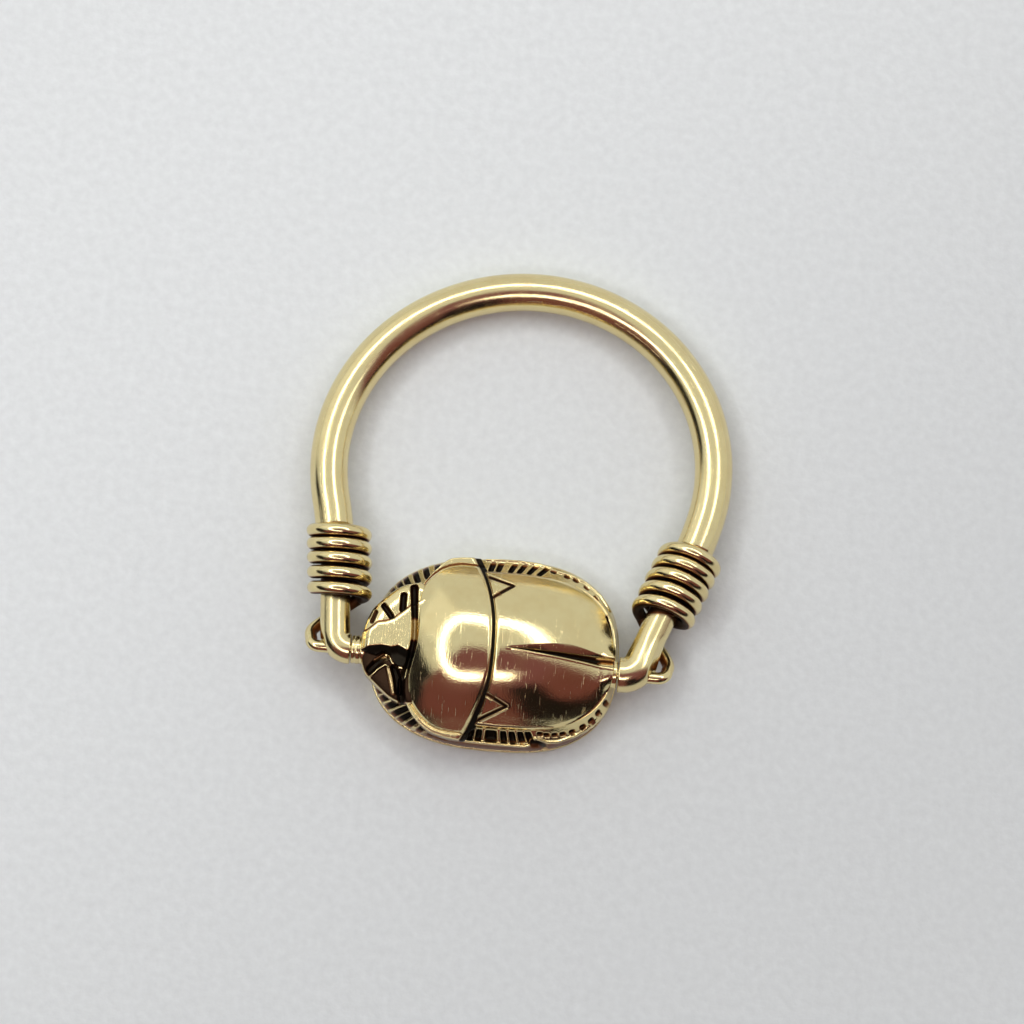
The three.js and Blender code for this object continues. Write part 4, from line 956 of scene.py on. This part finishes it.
def makeBand():
    count, middle = plinth["columns"], plinth["middle"]
    dense = np.linspace(-np.pi, np.pi, plinth["denser"] * count, endpoint=False)
    line = np.stack(around(middle, ovalRim(plinth["oval"], middle, dense), dense), -1)
    run = np.concatenate([[0], np.cumsum(np.linalg.norm(np.diff(line, axis=0), axis=1))])
    total = run[-1] + np.linalg.norm(line[0] - line[-1])
    place = total * np.arange(count) / count
    angle = np.interp(place, run, dense)
    foot, inner = (ovalRim(plinth[oval], middle, angle) for oval in ("oval", "inner"))
    tailward, headward = (np.clip(side * np.cos(angle), 0, 1) ** plinth["endPower"] for side in (1, -1))
    topHeight = mix(plinth["sideTop"], plinth["tailTop"], tailward)
    topHeight = topHeight + (plinth["headTop"] - plinth["sideTop"]) * headward
    wallInset, level = np.array(plinth["wall"]).T
    share = np.linspace(0, 1, plinth["slantRows"])[1:, None]
    radius = np.concatenate([foot - wallInset[:, None], (foot - wallInset[-1]) * (1 - share) + inner * share])
    height = np.concatenate([level[:, None] + 0 * foot, mix(level[-1], topHeight, share)])
    along, aside = around(middle, radius, angle)
    inset = insideOval(plinth["oval"], along, aside)
    # Painted shade: the top of the wall, under the lip, is coloured brown on the beetle's lower side, from
    # the prothorax to near the tail
    shadeUnderLip = (1 - smooth(*plinth["wallShadeInset"], inset)) * smooth(*plinth["wallShadeAside"], aside)
    shadeUnderLip = shadeUnderLip * smooth(*plinth["wallShadeFrom"], along) * (1 - smooth(*plinth["wallShadeTo"], along))
    cut = np.zeros(radius.shape)
    for bars in barRuns:
        near, far = bars["insets"]
        band = (inset - (near + far) / 2) / ((far - near) / 2)
        for barAlong, barAside in bars["places"]:
            turn = math.atan2(barAside - middle[1], barAlong - middle[0])
            offset = (place - np.interp(turn, dense, run) + total / 2) % total - total / 2
            offset = offset - bars["lean"] * band
            slot = flatBell(offset, bars["halfWidth"], plinth["slotCorner"])
            cut = np.maximum(cut, slot * flatBell(band, 1.0, plinth["slotCorner"]))
    marks = []
    for row in legMarks:
        places = np.array(row["places"])
        steps = row["halfLength"] * unit(np.gradient(places, axis=0))
        marks += [{"line": pair, "halfWidth": row["halfWidth"], "depth": plinth["markDepth"], "dark": 1}
                  for pair in zip(places - steps, places + steps)]
    patinaAndShade = np.maximum(plinth["wallShade"] * shadeUnderLip, np.clip(plinth["slotDark"] * cut, 0, 1))
    lifted, patinaAndShade = addLines((*plinth["lines"], *marks), along, aside, -plinth["slotDepth"] * cut, patinaAndShade)
    slope = np.hypot(inner - foot, topHeight - level[-1])
    radius = radius + lifted * (topHeight - level[-1]) / slope
    height = height + lifted * (foot - inner) / slope
    # The hidden inside: down from the slant's top, then out to the foot
    inside, base = inner - plinth["innerInset"], 0 * foot
    radius = np.concatenate([radius, [inside, inside, foot - plinth["footInset"]]])
    lower = [topHeight - plinth["innerDrop"], base + plinth["innerFoot"], base + level[0]]
    height = np.concatenate([height, lower])
    patinaAndShade = np.concatenate([patinaAndShade, np.zeros((3, count))])
    rows = onBeetle(*around(middle, radius, angle), height)
    return finishCasting(ringSurface("legs_band", rows, {"patinaAndShade": patinaAndShade}, hoopLike=True))


makeBand()
print("legs band carved")


# Base plate: a flat sheet with rounded edges, cut a little larger than the casting it carries
plate = {
    "thickness": 0.5, "lip": 0.06, "rounding": 0.09, "columns": 720, "edgeRows": 10, "faceRows": 14,
    "middleShare": 0.05,
}


def makePlate():
    angle = 2 * np.pi * np.arange(plate["columns"]) / plate["columns"]
    rim = ovalRim(plinth["oval"], plinth["middle"], angle) + plate["lip"]
    turn = np.linspace(0, np.pi / 2, plate["edgeRows"])
    inset = plate["rounding"] * (1 - np.sin(turn))
    lower = plate["rounding"] * (1 - np.cos(turn))
    inward = np.linspace(plate["middleShare"], 1, plate["faceRows"])[:-1]
    radius = np.concatenate([np.outer(inward, rim - plate["rounding"]), rim - inset[:, None],
                             rim - inset[::-1, None], np.outer(inward[::-1], rim - plate["rounding"])])
    flat = np.zeros(len(inward))
    height = np.concatenate([flat, lower, plate["thickness"] - lower[::-1], flat + plate["thickness"]])
    rows = onBeetle(*around(plinth["middle"], radius, angle), height[:, None] + 0 * radius)
    return finishPiece(ringSurface("seal_plate", rows), "scarab", ["base_plate"], sheetGold)


makePlate()
print("plate made")


# Pivot tube: a drawn tube with rounded lips and fine grooves turned near the head's end
tube = {
    "diameter": 1.5, "endPlay": 0.06, "rounding": 0.07, "lipSteps": 7, "sides": 96, "grooveDepth": 0.03,
    "grooveWidth": 0.09, "grooves": (0.2, 0.47, 0.74), "grooveRun": (0.1, 1.2), "grooveSteps": 90,
    "plainRun": (1.3, 0.1), "plainSteps": 60, "boreEdge": 0.04,
}


def makeTube():
    start, end = -headEnd["face"] + tube["endPlay"], tailEnd["face"] - tube["endPlay"]
    (grooveFrom, grooveTo), (plainFrom, plainTo) = tube["grooveRun"], tube["plainRun"]
    turn = np.linspace(0, np.pi / 2, tube["lipSteps"])
    lipOut = tube["rounding"] * (1 - np.sin(turn))
    lipAlong = tube["rounding"] * (1 - np.cos(turn))
    across = np.concatenate([start + lipAlong,
                             np.linspace(start + grooveFrom, start + grooveTo, tube["grooveSteps"]),
                             np.linspace(start + plainFrom, end - plainTo, tube["plainSteps"]),
                             end - lipAlong[::-1]])
    outer = np.full(len(across), tube["diameter"] / 2)
    outer[:len(turn)] -= lipOut
    outer[-len(turn):] -= lipOut[::-1]
    for groove in tube["grooves"]:
        beyond = (across - start - groove) / tube["grooveWidth"] * 2
        outer = outer - tube["grooveDepth"] * np.exp(-beyond ** 2)
    bore, edge = hoop["boreRadius"], tube["boreEdge"]
    across = np.concatenate([across, [end, end - edge, start + edge, start]])
    radius = np.concatenate([outer, [bore + edge, bore, bore, bore + edge]])
    angle = 2 * np.pi * np.arange(tube["sides"]) / tube["sides"]
    side, up = radius[:, None] * np.cos(angle), radius[:, None] * np.sin(angle)
    run = across[:, None] + 0 * angle
    piece = ringSurface("pivot_collar", swivel + np.stack([run, side, up], -1),
                        {"grain": np.stack([side, up, run], -1)}, hoopLike=True)
    return finishPiece(piece, "scarab", ["pivot_tube"], tubeGold)


makeTube()
print("tube made")

# Floor: a plain pale board, matt, with a fine mottled grain, and painted shade that darkens its colour
# towards one corner
floor = {
    "size": 3000.0,
    "colour": "#F0F6F7",
    "shade": "#D7DCDD",
    "grainSize": 0.5,
    "grainDepth": 0.03,
    "grainDetail": 3.0,
    "mottle": "#ECECEC",
    "roughness": 0.7,
    "toward": (0.7, -0.7, 0),
    "fade": 34,
}


def makeFloor():
    half = floor["size"] / 2
    corners = np.array([[-half, -half, 0], [half, -half, 0], [half, half, 0], [-half, half, 0]]) * mm
    mesh = bpy.data.meshes.new("floor")
    mesh.from_pydata(corners.tolist(), [], [[0, 1, 2, 3]])
    board = addObject("floor", mesh)
    material = bpy.data.materials.new("matt_painted_board")
    tree = emptyTree(material)
    place = addNode(tree, "ShaderNodeTexCoord").outputs["Object"]
    grain = addNode(tree, "ShaderNodeTexNoise", {
        "Vector": place, "Scale": 1 / (floor["grainSize"] * mm), "Detail": floor["grainDetail"],
    }).outputs["Fac"]
    toward = addNode(tree, "ShaderNodeVectorMath", {0: place, 1: floor["toward"]}, operation="DOT_PRODUCT")
    # Painted shade: the board's colour darkens towards one corner in place of a lamp's falloff
    shade = addNode(tree, "ShaderNodeMapRange", {
        "Value": toward.outputs["Value"], "From Min": -floor["fade"] * mm, "From Max": floor["fade"] * mm,
    }, interpolation_type="SMOOTHSTEP")
    colour = addNode(tree, "ShaderNodeMix", {
        "Factor": shade.outputs["Result"], "A": linearColour(floor["colour"]),
        "B": linearColour(floor["shade"]),
    }, data_type="RGBA")
    mottled = addNode(tree, "ShaderNodeMix", {
        "Factor": grain, "A": colour.outputs["Result"], "B": linearColour(floor["mottle"]),
    }, data_type="RGBA", blend_type="MULTIPLY")
    height = addNode(tree, "ShaderNodeMath", {0: grain, 1: floor["grainDepth"] * mm}, operation="MULTIPLY")
    bump = addNode(tree, "ShaderNodeBump", {
        "Height": height.outputs["Value"], "Strength": 1.0, "Distance": 1.0,
    })
    shader = addNode(tree, "ShaderNodeBsdfPrincipled", {
        "Base Color": mottled.outputs["Result"], "Roughness": floor["roughness"],
        "Normal": bump.outputs["Normal"],
    })
    addNode(tree, "ShaderNodeOutputMaterial", {"Surface": shader.outputs["BSDF"]})
    mesh.materials.append(material)


makeFloor()

# Soft studio surround. Pale overhead and behind; on the side the camera stands on, the room is warm and
# darker, with a dark patch low at each hand. Each edge of a patch is a plane across the sky: how far a
# direction lies along the plane's own direction where the patch starts, and where it is full. A ring of
# light hangs overhead.
studio = {
    "pale": "#E2E4E4",
    "strength": 0.94,
    "patches": (
        {"colour": "#80525E", "edges": (((0.59, -0.8, 0.05), -0.05, 0.05), ((0, -1, 0.08), -0.04, 0.06),
                                        ((-0.22, -0.97, 0), -0.16, -0.02))},
        {"colour": "#75474A", "edges": (((0.59, -0.8, 0.05), -0.05, 0.05), ((0, -1, 0.08), 0.1, 0.3),
                                        ((-0.22, -0.97, 0), -0.16, -0.02), ((0, 0, 1), 0.85, 0.6))},
        {"colour": "#242224", "edges": (((0.81, 0.59, 0), -0.75, -0.79), ((-0.54, 0.84, 0), -0.05, 0.01))},
        {"colour": "#242224", "edges": (((0.81, 0.59, 0), -0.66, -0.74), ((0.48, 0, 0.88), 0.01, -0.04))},
        {"colour": "#1F1A1B", "edges": (((0.97, 0.24, 0), -0.03, 0.03), ((0, 0, 1), 0.75, 0.71),
                                        ((0, -1, 0), 0.12, 0.24), ((0.93, 0, 0.37), 0.73, 0.68))},
        {"colour": "#1F1A1B", "edges": (((0.97, 0.24, 0), -0.04, 0.04), ((0.48, 0, 0.88), 0.69, 0.645),
                                        ((0, -1, 0), 0.12, 0.24))},
        {"colour": "#E2E4E4", "edges": (((0, 0, 1), 0.06, 0.0),)},
    ),
    "ringTilt": 2.5, "ringRadius": 32.7, "ringWidth": 3.0, "ringPower": 4.0, "ringStrength": 7.0,
    "ringColour": "#FFFEFC", "ringGap": ((0.85, -0.53, 0), 0.44, 0.385),
}


def makeStudio():
    world = bpy.data.worlds.new("studio")
    bpy.context.scene.world = world
    tree = emptyTree(world)
    direction = addNode(tree, "ShaderNodeTexCoord").outputs["Generated"]
    colour, ring = linearColour(studio["pale"]), {"edges": (studio["ringGap"],)}
    for patch in (*studio["patches"], ring):
        factor = 1.0
        for plane, start, full in patch["edges"]:
            beyond = addNode(tree, "ShaderNodeVectorMath", {0: direction, 1: plane}, operation="DOT_PRODUCT")
            rise = addNode(tree, "ShaderNodeMapRange", {
                "Value": beyond.outputs["Value"], "From Min": start, "From Max": full,
            }, interpolation_type="SMOOTHSTEP")
            factor = addNode(tree, "ShaderNodeMath", {
                0: rise.outputs["Result"], 1: factor,
            }, operation="MULTIPLY").outputs["Value"]
        if "colour" in patch:
            colour = addNode(tree, "ShaderNodeMix", {
                "Factor": factor, "A": colour, "B": linearColour(patch["colour"]),
            }, data_type="RGBA").outputs["Result"]
    tilt = math.radians(studio["ringTilt"])
    facing = addNode(tree, "ShaderNodeVectorMath", {
        0: direction, 1: (0.0, math.sin(tilt), math.cos(tilt)),
    }, operation="DOT_PRODUCT")
    # The ring of light: a bell round its radius, left out where its gap is
    value = facing.outputs["Value"]
    for operation, amount in (("ARCCOSINE", 0.0), ("DEGREES", 0.0), ("SUBTRACT", studio["ringRadius"]),
                              ("DIVIDE", studio["ringWidth"]), ("POWER", studio["ringPower"]),
                              ("MULTIPLY", -1.0), ("EXPONENT", 0.0), ("MULTIPLY", studio["ringStrength"]),
                              ("MULTIPLY", factor)):
        value = addNode(tree, "ShaderNodeMath", {0: value, 1: amount}, operation=operation).outputs["Value"]
    glow = addNode(tree, "ShaderNodeVectorMath", {
        0: linearColour(studio["ringColour"])[:3], "Scale": value,
    }, operation="SCALE")
    total = addNode(tree, "ShaderNodeVectorMath", {0: colour, 1: glow.outputs["Vector"]}, operation="ADD")
    background = addNode(tree, "ShaderNodeBackground", {
        "Color": total.outputs["Vector"], "Strength": studio["strength"],
    })
    addNode(tree, "ShaderNodeOutputWorld", {"Surface": background.outputs["Background"]})


makeStudio()

# One large soft lamp high on the left, so that the shadow falls softly towards the camera's right
lamp = {"size": 420.0, "place": (-330.0, 260.0, 330.0), "power": 0.12, "colour": "#FFFDFA"}


def makeLamp():
    data = bpy.data.lights.new("soft_lamp", "AREA")
    data.shape, data.size, data.energy = "SQUARE", lamp["size"] * mm, lamp["power"]
    data.color = linearColour(lamp["colour"])[:3]
    place = np.array(lamp["place"])
    back = unit(place)
    aim(addObject("soft_lamp", data), unit(np.cross(np.array([0, 0, 1.0]), back)), back, place)


makeLamp()
bpy.context.scene.view_settings.view_transform = "Standard"
print("floor, surround and lamp placed")

print("pieces:", len(placed))
